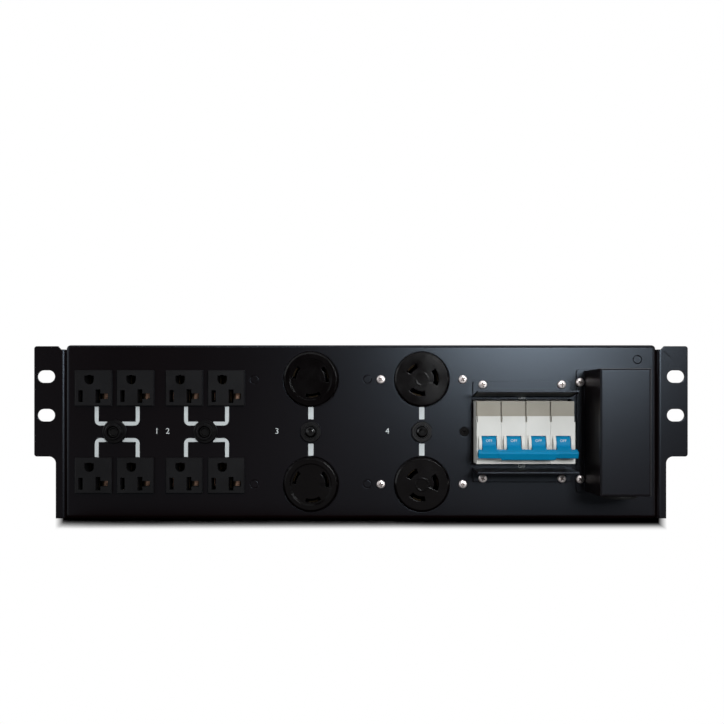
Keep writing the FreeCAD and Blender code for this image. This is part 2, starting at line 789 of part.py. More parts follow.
def build_outlet_contacts():
    """Line, neutral and earth clips of every straight-blade outlet."""
    line_web = "line_slot_width / 2 + chamber_margin - clip_clearance"
    neutral_web = ("neutral_slot_width / 2 + chamber_margin - clip_clearance",
                   "branch_reach + chamber_margin - clip_clearance")
    earth_web = "earth_radius + chamber_margin - clip_clearance"
    clips = [
        contact_clip("line_clip", "0 - line_offset", "0 - blade_drop", "blade_gap", (line_web, line_web),
                     "clip_height", "line_tail", "clip_set_back"),
        contact_clip("neutral_clip", "neutral_x", "0 - blade_drop", "blade_gap", neutral_web,
                     "neutral_clip_height", "neutral_tail", "tongue_set_back", "clip_tongue"),
        contact_clip("earth_clip", "0 - earth_offset", "earth_rise", "earth_pin_gap",
                     (earth_web, earth_web), "clip_height", "line_tail", "clip_set_back"),
    ]
    group("outlet_contacts", [link for clip in clips for link in copies(clip, OUTLETS)])


def lock_slots(rating):
    """Middle angle and sweep of a twist-lock outlet's three curved slots."""
    if rating == 30:
        return [("18", "56"), ("156", "44"), ("278", "52")]
    return [("8", "62"), ("132", "46"), ("252", "60")]


def slot_cuts(rating):
    """Three curved slots right through a twist-lock outlet, the first with a hook at its start."""
    pitch, slot = (f"pitch_{rating}", f"slot_{rating}")
    cuts = []
    for middle, sweep in lock_slots(rating):
        cuts.append(sector(pitch, slot, middle, sweep, "0 - lock_depth", "lock_depth + lock_proud"))
    middle, sweep = lock_slots(rating)[0]
    cuts.append(sector(f"{pitch} - hook_reach / 2", f"{slot} + hook_reach",
                       f"{middle} - {sweep} / 2 + hook_sweep / 2", "hook_sweep", "lock_proud - lock_face",
                       "2 * lock_face"))
    return joined(cuts)


def build_locking_outlet(number, x, rise, rating):
    """Round front of a twist-lock outlet: stepped face with three curved slots through it."""
    if rating == 30:
        face = [("0", "lock_proud - lock_recess"),
                ("lock_recess_radius - lock_recess / 2", "lock_proud - lock_recess"),
                ("lock_recess_radius", "lock_proud")]
    else:
        inner = "lock_ring_radius - lock_ring_wall"
        crest = "lock_proud + lock_ring_height"
        face = [("0", "lock_proud"), (inner, "lock_proud"), (inner, crest), ("lock_ring_radius", crest),
                ("lock_ring_radius", "lock_proud")]
    body = turned(f"lock_body_{number}", *face, ("lock_radius - lock_edge", "lock_proud"),
                  ("lock_radius", "lock_proud - lock_edge"), ("lock_radius", "0 - strap_back"),
                  ("0", "0 - strap_back"))
    node(f"locking_outlet_{number}", seat(combine("Cut", body, slot_cuts(rating)), x, rise))


def locking_housings():
    """Rear housing of every twist-lock outlet: a wide base and a round body, slotted right through."""
    members = []
    for rating in (30, 20):
        body = turned(f"lock_housing_{rating}", ("0", "0 - strap_back"),
                      ("lock_base_radius", "0 - strap_back"),
                      ("lock_base_radius", "0 - strap_back - lock_base_depth"),
                      ("lock_body_radius", "0 - strap_back - lock_base_depth"),
                      ("lock_body_radius", "0 - lock_depth"), ("0", "0 - lock_depth"))
        housing = combine("Cut", body, slot_cuts(rating))
        members += copies(housing, [(x, rise) for x, rise, kind in LOCKS if kind == rating])
    return members


def build_locking_contacts():
    """Curved brass contacts behind the slots of the twist-lock outlets."""
    members = []
    for x, rise, rating in LOCKS:
        pitch, slot = (f"pitch_{rating}", f"slot_{rating}")
        radius = f"{pitch} + {slot} / 2 - clip_clearance - lock_contact_sheet / 2"
        for middle, sweep in lock_slots(rating):
            contact = sector(radius, "lock_contact_sheet", middle, "lock_contact_sweep",
                             "0 - lock_depth - lock_tail",
                             "lock_depth + lock_tail + lock_proud - lock_face - clip_clearance")
            members.append(seat(contact, x, rise))
    group("locking_contacts", members)


def build_straps():
    """Steel straps that hold the twist-lock outlets against the back of the panel."""
    members = []
    for x, rise, rating in LOCKS:
        span = f"strap_{rating}_span"
        bar = doc.addObject("Part::Box", "Bar")
        bind(bar, Length=f"{span} + 2 * strap_end", Width="strap_height", Height="strap_sheet",
             Placement__Base__x=f"0 - {span} / 2 - strap_end", Placement__Base__y="0 - strap_height / 2",
             Placement__Base__z="0 - strap_back")
        plate = combine("Fuse", bar, cylinder("lock_base_radius", "strap_sheet", z="0 - strap_back"))
        holes = [cylinder("lock_radius + lock_clearance", "strap_back", z="0 - strap_back")]
        holes += [cylinder("stud_hole" if rating == 30 else "screw_hole", "strap_back",
                           x=f"{side}{span} / 2",
                           z="0 - strap_back") for side in ("0 - ", "0 + ")]
        members.append(seat(combine("Cut", plate, joined(holes)), x, rise))
    group("outlet_straps", members)


def build_studs():
    """Press-in studs with flush heads, and the nuts on them."""
    stud = turned("stud", ("0", "0 - stud_length"), ("stud_radius", "0 - stud_length"),
                  ("stud_radius", "0 - sheet"),
                  ("stud_head_radius", "0 - sheet"), ("stud_head_radius", "0 - stud_bevel"),
                  ("stud_head_radius - stud_bevel", "0"), ("0", "0"))
    group("clinch_studs", copies(stud, STRAP_STUDS + [EARTH_STUD]))
    hexagon = bind(doc.addObject("Part::Prism", "Hexagon"), Circumradius="stud_nut_radius",
                   Height="stud_nut_height",
                   Placement__Base__z="0 - stud_nut_height")
    hexagon.Polygon = 6
    nut = combine("Cut", hexagon,
                  cylinder("stud_hole", "2 * stud_nut_height", z="0 - 2 * stud_nut_height"))
    nuts = copies(nut, STRAP_STUDS, out="0 - strap_back")
    group("stud_nuts", nuts + copies(nut, [EARTH_STUD], out="0 - sheet"))


def build_reset_breakers():
    """Thermal breaker bodies with a bored neck through the panel, and their tabs."""
    for number, x in enumerate(BANKS, start=1):
        body = body_named(f"reset_breaker_{number}")
        case = sketch_on(body, offset="0 - sheet")
        rectangle(case, "0", "0", "reset_width", "reset_height")
        pad(body, case, "reset_depth", back=True)
        neck = sketch_on(body, offset="0 - sheet")
        circle(neck, "0", "0", "neck_radius")
        pad(body, neck, "sheet + neck_out")
        bore = sketch_on(body, offset="neck_out")
        circle(bore, "0", "0", "button_bore")
        pocket(body, bore, "neck_out + button_root + button_seat_gap")
        node(f"reset_breaker_{number}", seat(body, x, "middle"))
    tabs = []
    for x in BANKS:
        for side in "-+":
            tab = doc.addObject("Part::Box", "Tab")
            bind(tab, Length="tab_sheet", Width="tab_width", Height="tab_length")
            tabs.append(seat(tab, f"{x} - tab_sheet / 2", f"middle {side} tab_spread - tab_width / 2",
                             "0 - sheet - reset_depth - tab_length"))
    group("breaker_tabs", tabs)


def build_reset_fronts():
    """Collars on the two left reset breakers, flatted nuts on the two right ones, and the buttons."""
    for number in (1, 2):
        boot = turned(f"breaker_boot_{number}", ("neck_hole", "0"), ("boot_radius", "0"),
                      ("boot_radius", "boot_height - boot_bevel"),
                      ("boot_radius - boot_bevel", "boot_height"),
                      ("collar_radius", "boot_height"), ("collar_radius", "collar_height - collar_bevel"),
                      ("collar_radius - collar_bevel", "collar_height"), ("button_bore", "collar_height"),
                      ("button_bore", "neck_out + neck_clearance"),
                      ("neck_hole", "neck_out + neck_clearance"))
        node(f"breaker_boot_{number}", seat(boot, f"bank_{number}", "middle"))
        button = turned(f"reset_button_{number}", ("0", "0 - button_root"),
                        ("button_radius", "0 - button_root"),
                        ("button_radius", "button_top - button_dish"),
                        ("button_radius - button_dish", "button_top"),
                        ("button_radius - 2 * button_dish", "button_top"),
                        ("button_radius - 3 * button_dish", "button_top - button_dish"),
                        ("0", "button_top - button_dish"))
        node(f"reset_button_{number}", seat(button, f"bank_{number}", "middle"))
    for number in (3, 4):
        nut = turned(f"breaker_nut_{number}", ("neck_hole", "0"), ("nut_radius", "0"),
                     ("nut_radius", "nut_height - nut_bevel"), ("nut_radius - nut_bevel", "nut_height"),
                     ("neck_hole", "nut_height"))
        flats = sketch_on(nut, offset="nut_height")
        for side in "-+":
            rectangle(flats, f"0 {side} 2 * nut_flat", "0", "2 * nut_flat", "4 * nut_flat")
        pocket(nut, flats, "nut_height")
        node(f"breaker_nut_{number}", seat(nut, f"bank_{number}", "middle"))
        button = turned(f"reset_button_{number}", ("0", "0 - button_root"),
                        ("button_radius", "0 - button_root"),
                        ("button_radius", "dome_height - 2 * dome_crown"),
                        ("button_radius - dome_crown / 3", "dome_height - dome_crown"),
                        ("button_radius - dome_crown", "dome_height - dome_crown / 3"),
                        ("button_radius - 2 * dome_crown", "dome_height"), ("0", "dome_height"))
        node(f"reset_button_{number}", seat(button, f"bank_{number}", "middle"))


def build_pole(number, x):
    """One pole of the input breaker: stepped nose, shoulders, rail hooks and the toggle's window."""
    body = body_named(f"main_breaker_pole_{number}")
    side = sketch_on(body, "YZ_Plane", "0 - pole_width / 2")
    step = "nose_height / 2 - nose_step_height"
    half = "pole_height / 2"
    grip = "rail_half - hook_grip"
    outline(side, ("0 - nose_height / 2", "nose_out"), (step, "nose_out"), (step, "nose_out - nose_step"),
            ("nose_height / 2", "nose_out - nose_step"), ("nose_height / 2", "0 - shoulder"),
            (half, "0 - shoulder"),
            (half, "0 - foot_back"), (grip, "0 - foot_back"), (grip, "0 - hook_front"),
            ("rail_half", "0 - hook_front"),
            ("rail_half", "0 - rail_seat"), ("0 - rail_half", "0 - rail_seat"),
            ("0 - rail_half", "0 - hook_front"),
            (f"0 - ({grip})", "0 - hook_front"), (f"0 - ({grip})", "0 - foot_back"),
            (f"0 - {half}", "0 - foot_back"),
            (f"0 - {half}", "0 - shoulder"), ("0 - nose_height / 2", "0 - shoulder"))
    pad(body, side, "pole_width")

    room = "toggle_width + 2 * drum_clearance"
    for inner in (f"({room}) / 2", f"0 - ({room}) / 2 - cheek_width"):
        cheek = sketch_on(body, "YZ_Plane", inner)
        circle(cheek, "0 - pivot_drop", "pivot_out", "cheek_radius")
        pad(body, cheek, "cheek_width")
    drum = sketch_on(body, "YZ_Plane", f"0 - ({room}) / 2")
    circle(drum, "0 - pivot_drop", "pivot_out", "drum_radius + drum_clearance")
    pocket(body, drum, room, along=True)
    window = sketch_on(body, "YZ_Plane", f"0 - ({room}) / 2")
    rectangle(window, "0 - pivot_drop", "(pivot_out + nose_out) / 2", "2 * window_half",
              "nose_out - pivot_out")
    pocket(body, window, room, along=True)

    notches = sketch_on(body, offset="nose_out")
    for edge in "-+":
        rectangle(notches, f"0 {edge} (pole_width - notch_width) / 2", f"{step} - notch_height / 2",
                  "notch_width", "notch_height")
        rectangle(notches, f"0 {edge} (pole_width - seam_width) / 2", f"{step} + nose_step_height / 2",
                  "seam_width", "nose_step_height")
    pocket(body, notches, "notch_depth")
    wells = sketch_on(body, offset="0 - shoulder")
    for edge in "-+":
        circle(wells, "0", f"0 {edge} well_rise", "well_radius")
    pocket(body, wells, "well_depth")
    top = sketch_on(body, "XZ_Plane", f"0 - {half}")
    circle(top, "0", "0 - wire_plane", "wire_radius + entry_clearance")
    pocket(body, top, "entry_depth", along=True)
    bottom = sketch_on(body, "XZ_Plane", half)
    circle(bottom, "0", "0 - wire_plane", "wire_radius + entry_clearance")
    pocket(body, bottom, "entry_depth")
    node(f"main_breaker_pole_{number}", seat(body, x, "middle"))


def seat_on_pivot(obj, x):
    """Seat a piece of the handle on the toggles' pivot line, tilted down to off."""
    seat(obj, x, "middle - pivot_drop", "pivot_out")
    return bind(obj, Placement__Rotation__Angle="90 + toggle_tilt")


def build_handle():
    """Four toggles on one pivot line and the bar that ties them, drawn with the lever along Z."""
    for number, x in enumerate(POLES, start=1):
        body = body_named(f"breaker_toggle_{number}")
        drum = sketch_on(body, "YZ_Plane", "0 - toggle_width / 2")
        circle(drum, "0", "0", "drum_radius")
        pad(body, drum, "toggle_width")
        lever = sketch_on(body, "YZ_Plane", "0 - toggle_width / 2")
        rectangle(lever, "0", "tie_root / 2", "lever_height", "tie_root")
        pad(body, lever, "toggle_width")
        node(f"breaker_toggle_{number}", seat_on_pivot(body, x))

    bar = body_named("handle_tie_bar")
    section = sketch_on(bar, "YZ_Plane", "pole_play - 2 * pole_pitch")
    rectangle(section, "(tie_top - tie_bottom) / 2", "tie_root + tie_depth / 2", "tie_top + tie_bottom",
              "tie_depth")
    pad(bar, section, "4 * pole_pitch - 2 * pole_play")
    crest = read("tie_root") + read("tie_depth")
    dress(bar, "Fillet", "tie_round", lambda edge: runs(edge, "x") and near(edge, z=crest))
    grip = sketch_on(bar, offset="tie_root + tie_round")
    outline(grip, ("0 - grip_span / 2", "grip_top"), ("grip_slope - grip_span / 2", "0 - grip_drop"),
            ("grip_span / 2 - grip_slope", "0 - grip_drop"), ("grip_span / 2", "grip_top"))
    pad(bar, grip, "tie_depth - tie_round + grip_proud")
    front, bottom = (crest + read("grip_proud"), 0 - read("grip_drop"))
    dress(bar, "Chamfer", "grip_chamfer", lambda edge: runs(edge, "x") and near(edge, y=bottom, z=front))
    node("handle_tie_bar", seat_on_pivot(bar, "breaker_centre"))


def build_rail():
    """Top-hat rail behind the input breaker, with its spacers and screws."""
    body = body_named("din_rail")
    span = "4 * pole_pitch + 2 * rail_screw_offset + 2 * rail_end"
    profile = sketch_on(body, "YZ_Plane", f"0 - ({span}) / 2")
    rim, edge = ("0 - rail_seat", "rail_height / 2")
    under = "0 - rail_seat - rail_sheet"
    side = "rail_rim + rail_sheet"
    outline(profile, (edge, rim), ("rail_rim", rim), ("rail_rim", "0 - rail_web"),
            ("0 - rail_rim", "0 - rail_web"),
            ("0 - rail_rim", rim), (f"0 - {edge}", rim), (f"0 - {edge}", under), (f"0 - ({side})", under),
            (f"0 - ({side})", "0 - rail_back"), (side, "0 - rail_back"), (side, under), (edge, under))
    pad(body, profile, span)
    holes = sketch_on(body)
    for sign in "-+":
        circle(holes, f"0 {sign} (2 * pole_pitch + rail_screw_offset)", "0", "screw_hole")
    pocket(body, holes)
    node("din_rail", seat(body, "breaker_centre", "middle"))

    spacer = bind(doc.addObject("Part::Prism", "Hexagon"), Circumradius="spacer_radius",
                  Height="rail_web - sheet",
                  Placement__Base__z="0 - rail_web")
    spacer.Polygon = 6
    bores = [cylinder("spacer_bore", "spacer_bore_depth", z="0 - rail_web"),
             cylinder("spacer_bore", "spacer_bore_depth", z="0 - sheet - spacer_bore_depth")]
    group("rail_standoffs", copies(combine("Cut", spacer, joined(bores)), RAIL_SCREWS))

    sunk = turned("sunk_screw", ("0", "0 - screw_length"), ("screw_radius", "0 - screw_length"),
                  ("screw_radius", "screw_radius - sunk_head_radius"), ("sunk_head_radius", "0"),
                  ("0", "0"))
    rear = pan_screw("rail_screw")
    group("rail_screws",
          copies(sunk, RAIL_SCREWS) + copies(rear, RAIL_SCREWS, turn=-90, out="0 - rail_back"))


def build_guard(name, up):
    """Bent guard with a shelf that flares away from the breaker; up is 1 above it and -1 below."""
    body = body_named(name)
    profile = sketch_on(body, "YZ_Plane", "0 - guard_width / 2")
    top = f"guard_root + {name}_flange"
    tip = f"guard_root + {name}_flare"
    corners = [("guard_root", "0"), (top, "0"), (top, "guard_sheet"),
               ("guard_root + guard_sheet", "guard_sheet"),
               (f"{tip} + guard_sheet", "guard_depth"), (tip, "guard_depth")]
    outline(profile, *[(f"{up} * ({y})", z) for y, z in corners])
    pad(body, profile, "guard_width")
    root = up * read("guard_root")
    dress(body, "Fillet", "guard_bend", lambda edge: runs(edge, "x") and near(edge, y=root, z=0))
    end = up * (read("guard_root") + read(f"{name}_flange"))
    half = read("guard_width") / 2
    dress(body, "Fillet", "guard_sheet",
          lambda edge: runs(edge, "z") and (near(edge, x=-half, y=end) or near(edge, x=half, y=end)))
    holes = sketch_on(body, offset="guard_sheet")
    for side in "-+":
        circle(holes, f"0 {side} guard_screw_spread", f"{up} * ({top} - guard_screw_edge)", "screw_hole")
    pocket(body, holes, "guard_sheet")
    node(name, seat(body, "breaker_centre", "guard_height"))


def build_terminal_cover():
    """Folded box over the input terminals, with side flanges and a cable hole underneath."""
    body = body_named("terminal_cover")
    flange = sketch_on(body)
    rectangle(flange, "0", "0", "cover_width + 2 * cover_flange", "cover_height + 2 * cover_flange_extra")
    pad(body, flange, "sheet")
    dress(body, "Fillet", "cover_corner", lambda edge: runs(edge, "z"))
    box = sketch_on(body)
    rectangle(box, "0", "0", "cover_width", "cover_height")
    pad(body, box, "cover_depth")
    depth = read("cover_depth")
    dress(body, "Fillet", "cover_fold", lambda edge: near(edge, z=depth))
    inside = sketch_on(body)
    rectangle(inside, "0", "0", "cover_width - 2 * sheet", "cover_height - 2 * sheet")
    pocket(body, inside, "cover_depth - sheet", along=True)
    holes = sketch_on(body, offset="sheet")
    for side in "-+":
        for level in "-+":
            circle(holes, f"0 {side} (cover_width / 2 + cover_flange - cover_screw_inset)",
                   f"0 {level} cover_screw_spread", "screw_hole")
    pocket(body, holes)
    entry = sketch_on(body, "XZ_Plane", "cover_height / 2")
    circle(entry, "0", "cable_out", "grommet_seat + grommet_clearance")
    pocket(body, entry, "2 * sheet")
    node("terminal_cover", seat(body, "cover_centre", "cover_middle"))

    low, high = ("0 - sheet / 2", "sheet / 2")
    grommet = turned("cable_grommet", ("cable_radius", f"{low} - grommet_lip"),
                     ("grommet_lip_radius - grommet_lip / 2", f"{low} - grommet_lip"),
                     ("grommet_lip_radius", f"{low} - grommet_lip / 2"), ("grommet_lip_radius", low),
                     ("grommet_seat", low), ("grommet_seat", high), ("grommet_lip_radius", high),
                     ("grommet_lip_radius", f"{high} + grommet_lip / 2"),
                     ("grommet_lip_radius - grommet_lip / 2", f"{high} + grommet_lip"),
                     ("cable_radius", f"{high} + grommet_lip"))
    seat(grommet, "cover_centre", "cover_middle - cover_height / 2 + sheet / 2", "cable_out", turn=0)
    node("cable_grommet", grommet)


def build_terminal_block():
    """Four-way terminal block under the cover, with its screws and the pins to the inside."""
    body = body_named("terminal_block")
    base = sketch_on(body)
    rectangle(base, "0", "0", "block_width", "block_height")
    pad(body, base, "block_depth")
    boss = sketch_on(body)
    rectangle(boss, "0", "0", "boss_width", "boss_height")
    pad(body, boss, "sheet + boss_length", back=True)
    bays = sketch_on(body, offset="block_depth")
    for index in range(4):
        rectangle(bays, "0", f"({2 * index - 3} / 2) * bay_pitch", "block_width - 2 * bay_wall",
                  "bay_pitch - bay_wall")
    pocket(body, bays, "bay_depth")
    node("terminal_block", seat(body, "cover_centre", "cover_middle"))

    floor = "block_depth - bay_depth"
    head = turned("terminal_screw", ("0", floor), ("terminal_head_radius", floor),
                  ("terminal_head_radius", f"{floor} + terminal_head_height"),
                  ("0", f"{floor} + terminal_head_height"))
    bay_places = [("cover_centre",
                   f"cover_middle + ({2 * index - 3} / 2) * bay_pitch") for index in range(4)]
    group("terminal_screws", copies(head, bay_places))

    pin = turned("terminal_pin", ("0", "wire_radius - wire_plane"),
                 ("pin_radius", "wire_radius - wire_plane"),
                 ("pin_radius", "0 - sheet - boss_length"), ("0", "0 - sheet - boss_length"))
    group("terminal_pins",
          copies(pin, [(feed_column(index), rise) for index, (x, rise) in enumerate(bay_places)]))


def feed_column(index):
    """Line up which a feed wire climbs from its terminal pin."""
    return f"cover_centre + ({3 - 2 * index} / 2) * pin_stagger"


def bent_wire(points, bend, radius):
    """Round wire along straight runs joined by tangent arcs."""
    edges = []
    start = points[0]
    for before, corner, after in zip(points, points[1:], points[2:]):
        arrive = (corner - before).normalize()
        leave = (after - corner).normalize()
        first, last = (corner - arrive * bend, corner + leave * bend)
        middle = corner + (leave - arrive).normalize() * bend * (math.sqrt(2) - 1)
        edges += [Part.LineSegment(start, first).toShape(), Part.Arc(first, middle, last).toShape()]
        start = last
    edges.append(Part.LineSegment(start, points[-1]).toShape())
    end = Part.Face(Part.Wire([Part.makeCircle(radius, points[0], points[1] - points[0])]))
    return Part.Wire(edges).makePipe(end)


def wire_group(name, paths):
    """Node of bent wires, drawn in the panel's view."""
    feature = doc.addObject("Part::Feature", name)
    bend, radius = (read("wire_bend"), read("wire_radius"))
    feature.Shape = Part.makeCompound([bent_wire(path, bend, radius) for path in paths])
    node(name, seat(feature))


def build_feeds():
    """Feed wires from the terminal pins to the breaker's top, and branch wires from its bottom."""
    depth = -read("wire_plane")
    lane, pitch = (read("wire_lane"), read("pole_pitch"))
    top = read("middle") + read("pole_height") / 2 - read("entry_depth")
    bottom = read("middle") - read("pole_height") / 2 + read("entry_depth")
    tab = read("middle") - read("tab_spread") - read("tab_width") / 2
    feeds, branches = ([], [])
    for index in range(4):
        pole = read("pole_start") + (index + 0.5) * pitch
        climb = read("cover_centre") + (1.5 - index) * read("pin_stagger")
        pin = read("cover_middle") + (index - 1.5) * read("bay_pitch")
        level = read("top_lane") - index * lane
        feeds.append([Vector(climb, pin - read("pin_radius"), depth), Vector(climb, level, depth),
                      Vector(pole, level, depth), Vector(pole, top, depth)])
        bank = read(BANKS[3 - index])
        floor = read("bottom_lane") + (3 - index) * lane
        branches.append([Vector(pole, bottom, depth), Vector(pole, floor, depth),
                         Vector(bank, floor, depth),
                         Vector(bank, tab, depth)])
    wire_group("feed_wires", feeds)
    wire_group("branch_wires", branches)


def straight_wire(axis, radius, length, x, y, z):
    """Straight wire along X or Y, drawn in the panel's view."""
    bar = bind(doc.addObject("Part::Cylinder", "Wire"), Radius=radius, Height=length)
    return seat(bar, x, y, z, turn=90 if axis == "x" else 0, axis=Vector(0, 1, 0))


def build_bus():
    """Bus wires along the contact tails, jumpers between the rows, and links to the reset breakers."""
    wires = []
    line_y = "0 - blade_drop - clip_height / 2 - bus_radius - bus_gap"
    neutral_y = "neutral_clip_height / 2 - blade_drop + bus_radius + bus_gap"
    earth_y = "earth_rise + clip_height / 2 + bus_radius + bus_gap"
    line_z, neutral_z = ("0 - line_bus_depth", "0 - neutral_bus_depth")
    neutral_end = "column_1 - body_width / 2 - bus_radius - neutral_jumper_gap"
    earth_end = "sheet + earth_jumper_wall_gap - half_width"
    for row in ("row_1", "row_2"):
        for left, right in (("column_1", "column_2"), ("column_3", "column_4")):
            wires.append(straight_wire("x", "bus_radius", f"{right} - {left} + 2 * bus_overhang",
                                       f"{left} - line_offset - bus_overhang", f"{row} + {line_y}",
                                       line_z))
        wires.append(straight_wire("x", "bus_radius",
                                   f"column_4 + neutral_x + bus_overhang - ({neutral_end})",
                                   neutral_end, f"{row} + {neutral_y}", neutral_z))
        wires.append(straight_wire("x", "bus_radius",
                                   f"column_4 - earth_offset + bus_overhang - ({earth_end})",
                                   earth_end, f"{row} + {earth_y}", line_z))
    behind = f"{line_z} - 2 * bus_radius - bus_gap"
    ahead = f"{neutral_z} + 2 * bus_radius + bus_gap"
    overlap = "row_1 - row_2 + 2 * bus_overhang"
    for bank in BANKS[:2]:
        wires.append(straight_wire("y", "bus_radius", overlap, f"{bank} + jumper_offset",
                                   f"row_2 + {line_y} - bus_overhang", behind))
    wires.append(straight_wire("y", "bus_radius", overlap, f"{neutral_end} + bus_radius",
                               f"row_2 + {neutral_y} - bus_overhang", ahead))
    wires.append(straight_wire("y", "bus_radius", overlap, f"{earth_end} + bus_radius",
                               f"row_2 + {earth_y} - bus_overhang", behind))
    tab_top = "middle + tab_spread + tab_width / 2"
    for bank in BANKS[:2]:
        wires.append(straight_wire("y", "bus_radius",
                                   f"row_1 + {line_y} - bus_radius - bus_gap - ({tab_top})",
                                   bank, tab_top, f"{line_z} - tab_length / 2"))
    group("outlet_bus_wires", wires)


def write_parts():
    """Check every object and every piece, then write each piece to its own file."""
    doc.recompute()
    for obj in doc.Objects:
        if {"Invalid", "Error"} & set(obj.State):
            raise RuntimeError(f"{obj.Name} failed: {obj.State}")
        if obj.TypeId == "PartDesign::Pocket" and obj.Shape.Volume > obj.BaseFeature.Shape.Volume - 1e-6:
            raise RuntimeError(f"{obj.Name} in {obj.getParent().Name} cuts nothing")
    os.makedirs("parts", exist_ok=True)
    for name, obj in NODES.items():
        if obj.Shape.isNull() or not obj.Shape.isValid():
            raise RuntimeError(f"{name} has no valid shape")
    for name, obj in NODES.items():
        obj.Shape.exportStep(f"parts/{name}.step")
        print(f"{name}: {len(obj.Shape.Solids)} solid(s), {obj.Shape.Volume / 1000:.2f} cm3")


def main():
    """Build every piece in the order it would be put together."""
    fill_sheet()
    build_chassis()
    build_rear_cover()
    build_ears()
    build_screws()
    for number, (x, rise) in enumerate(OUTLETS, start=1):
        build_outlet(number, x, rise)
    build_outlet_housings()
    build_outlet_contacts()
    for number, (x, rise, rating) in enumerate(LOCKS, start=1):
        build_locking_outlet(number, x, rise, rating)
    build_locking_contacts()
    build_straps()
    build_studs()
    build_reset_breakers()
    build_reset_fronts()
    for number, x in enumerate(POLES, start=1):
        build_pole(number, x)
    build_handle()
    build_rail()
    build_guard("upper_guard", 1)
    build_guard("lower_guard", -1)
    build_terminal_cover()
    build_terminal_block()
    build_feeds()
    build_bus()
    write_parts()


main()
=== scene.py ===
"""Looks of the rack power distribution unit: finishes, printed marks, screws and the studio."""
import logging
import math
from dataclasses import dataclass
from enum import Enum
from typing import Callable, Iterable, List, Optional, Sequence, Tuple

import bpy
from mathutils import Matrix, Vector


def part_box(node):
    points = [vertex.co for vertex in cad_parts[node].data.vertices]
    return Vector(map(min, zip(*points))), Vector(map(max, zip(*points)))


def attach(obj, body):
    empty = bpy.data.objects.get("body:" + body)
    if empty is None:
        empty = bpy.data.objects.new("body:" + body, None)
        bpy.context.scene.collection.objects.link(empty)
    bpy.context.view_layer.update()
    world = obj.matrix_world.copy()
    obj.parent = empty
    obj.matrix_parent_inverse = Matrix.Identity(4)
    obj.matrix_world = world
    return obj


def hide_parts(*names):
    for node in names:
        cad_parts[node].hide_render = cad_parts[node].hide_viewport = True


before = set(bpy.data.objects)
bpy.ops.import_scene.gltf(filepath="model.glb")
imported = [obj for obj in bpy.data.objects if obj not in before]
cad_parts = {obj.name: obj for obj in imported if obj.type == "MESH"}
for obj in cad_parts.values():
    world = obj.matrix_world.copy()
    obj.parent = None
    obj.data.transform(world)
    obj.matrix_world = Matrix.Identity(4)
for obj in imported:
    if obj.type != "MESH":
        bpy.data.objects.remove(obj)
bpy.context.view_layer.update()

CHASSIS_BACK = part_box("chassis_shell")[1].y
MM = 0.001
PANEL_FRONT = -3.5  # y of the panel's front face, in millimetres
SLOT_RISE = 90.5  # height of the origin over the panel's bottom edge, in millimetres
SEAT_SINK = 0.001  # how far a screw's top stays inside the CAD one's, in millimetres
NEAR = 1e-6  # metres within which two places count as one
WELD = 1e-7  # metres within which the CAD's loose triangles share a corner
TEXT_PER_CAPITAL = 1.42  # size of a text over the height of its capitals
NOISE_RANGE = (0.3, 0.7)  # where most of a noise's values lie
FALLING = (1.0, 0.0)  # results of a mask that fades out
LEVEL = 0.9  # least share of its normal that a level face has along z
UPRIGHT = Matrix.Rotation(math.pi / 2, 4, "X")  # from lying flat to facing forwards
log = logging.getLogger("rack_unit")

Colour = Tuple[float, float, float]
Point = Tuple[float, float, float]
Place = Tuple[float, float]
Span = Tuple[float, float]
Box = Tuple[Vector, Vector]
Socket = bpy.types.NodeSocket
Material = bpy.types.Material
Piece = bpy.types.Object


class Rider(Enum):
    """Moving body that a piece rides on."""

    FRAME = "frame"
    HANDLE = "handle"


class Pick(Enum):
    """What is selected on a mesh, as Blender's select mode."""

    CORNERS = (True, False, False)
    EDGES = (False, True, False)
    FACES = (False, False, True)


class Facing(Enum):
    """Way a screw's head looks, as the axis and the quarter turns that bring +Z there."""

    FRONT = ("X", 1)
    BACK = ("X", -1)
    LEFT = ("Y", -1)
    RIGHT = ("Y", 1)

    def turn(self) -> Matrix:
        """Turn that brings a head from +Z to this side of the unit."""
        axis, quarters = self.value
        return Matrix.Rotation(quarters * math.pi / 2, 4, axis)


def spot(x: float, rise: float, out: float = 0.0) -> Vector:
    """Point of the part's frame from the panel's own view.

    Args:
        x: millimetres to the right of the panel's middle.
        rise: millimetres above the panel's bottom edge.
        out: millimetres in front of the panel.

    Returns:
        The point in metres.
    """
    return Vector((x, PANEL_FRONT - out, rise - SLOT_RISE)) * MM


# Finishes


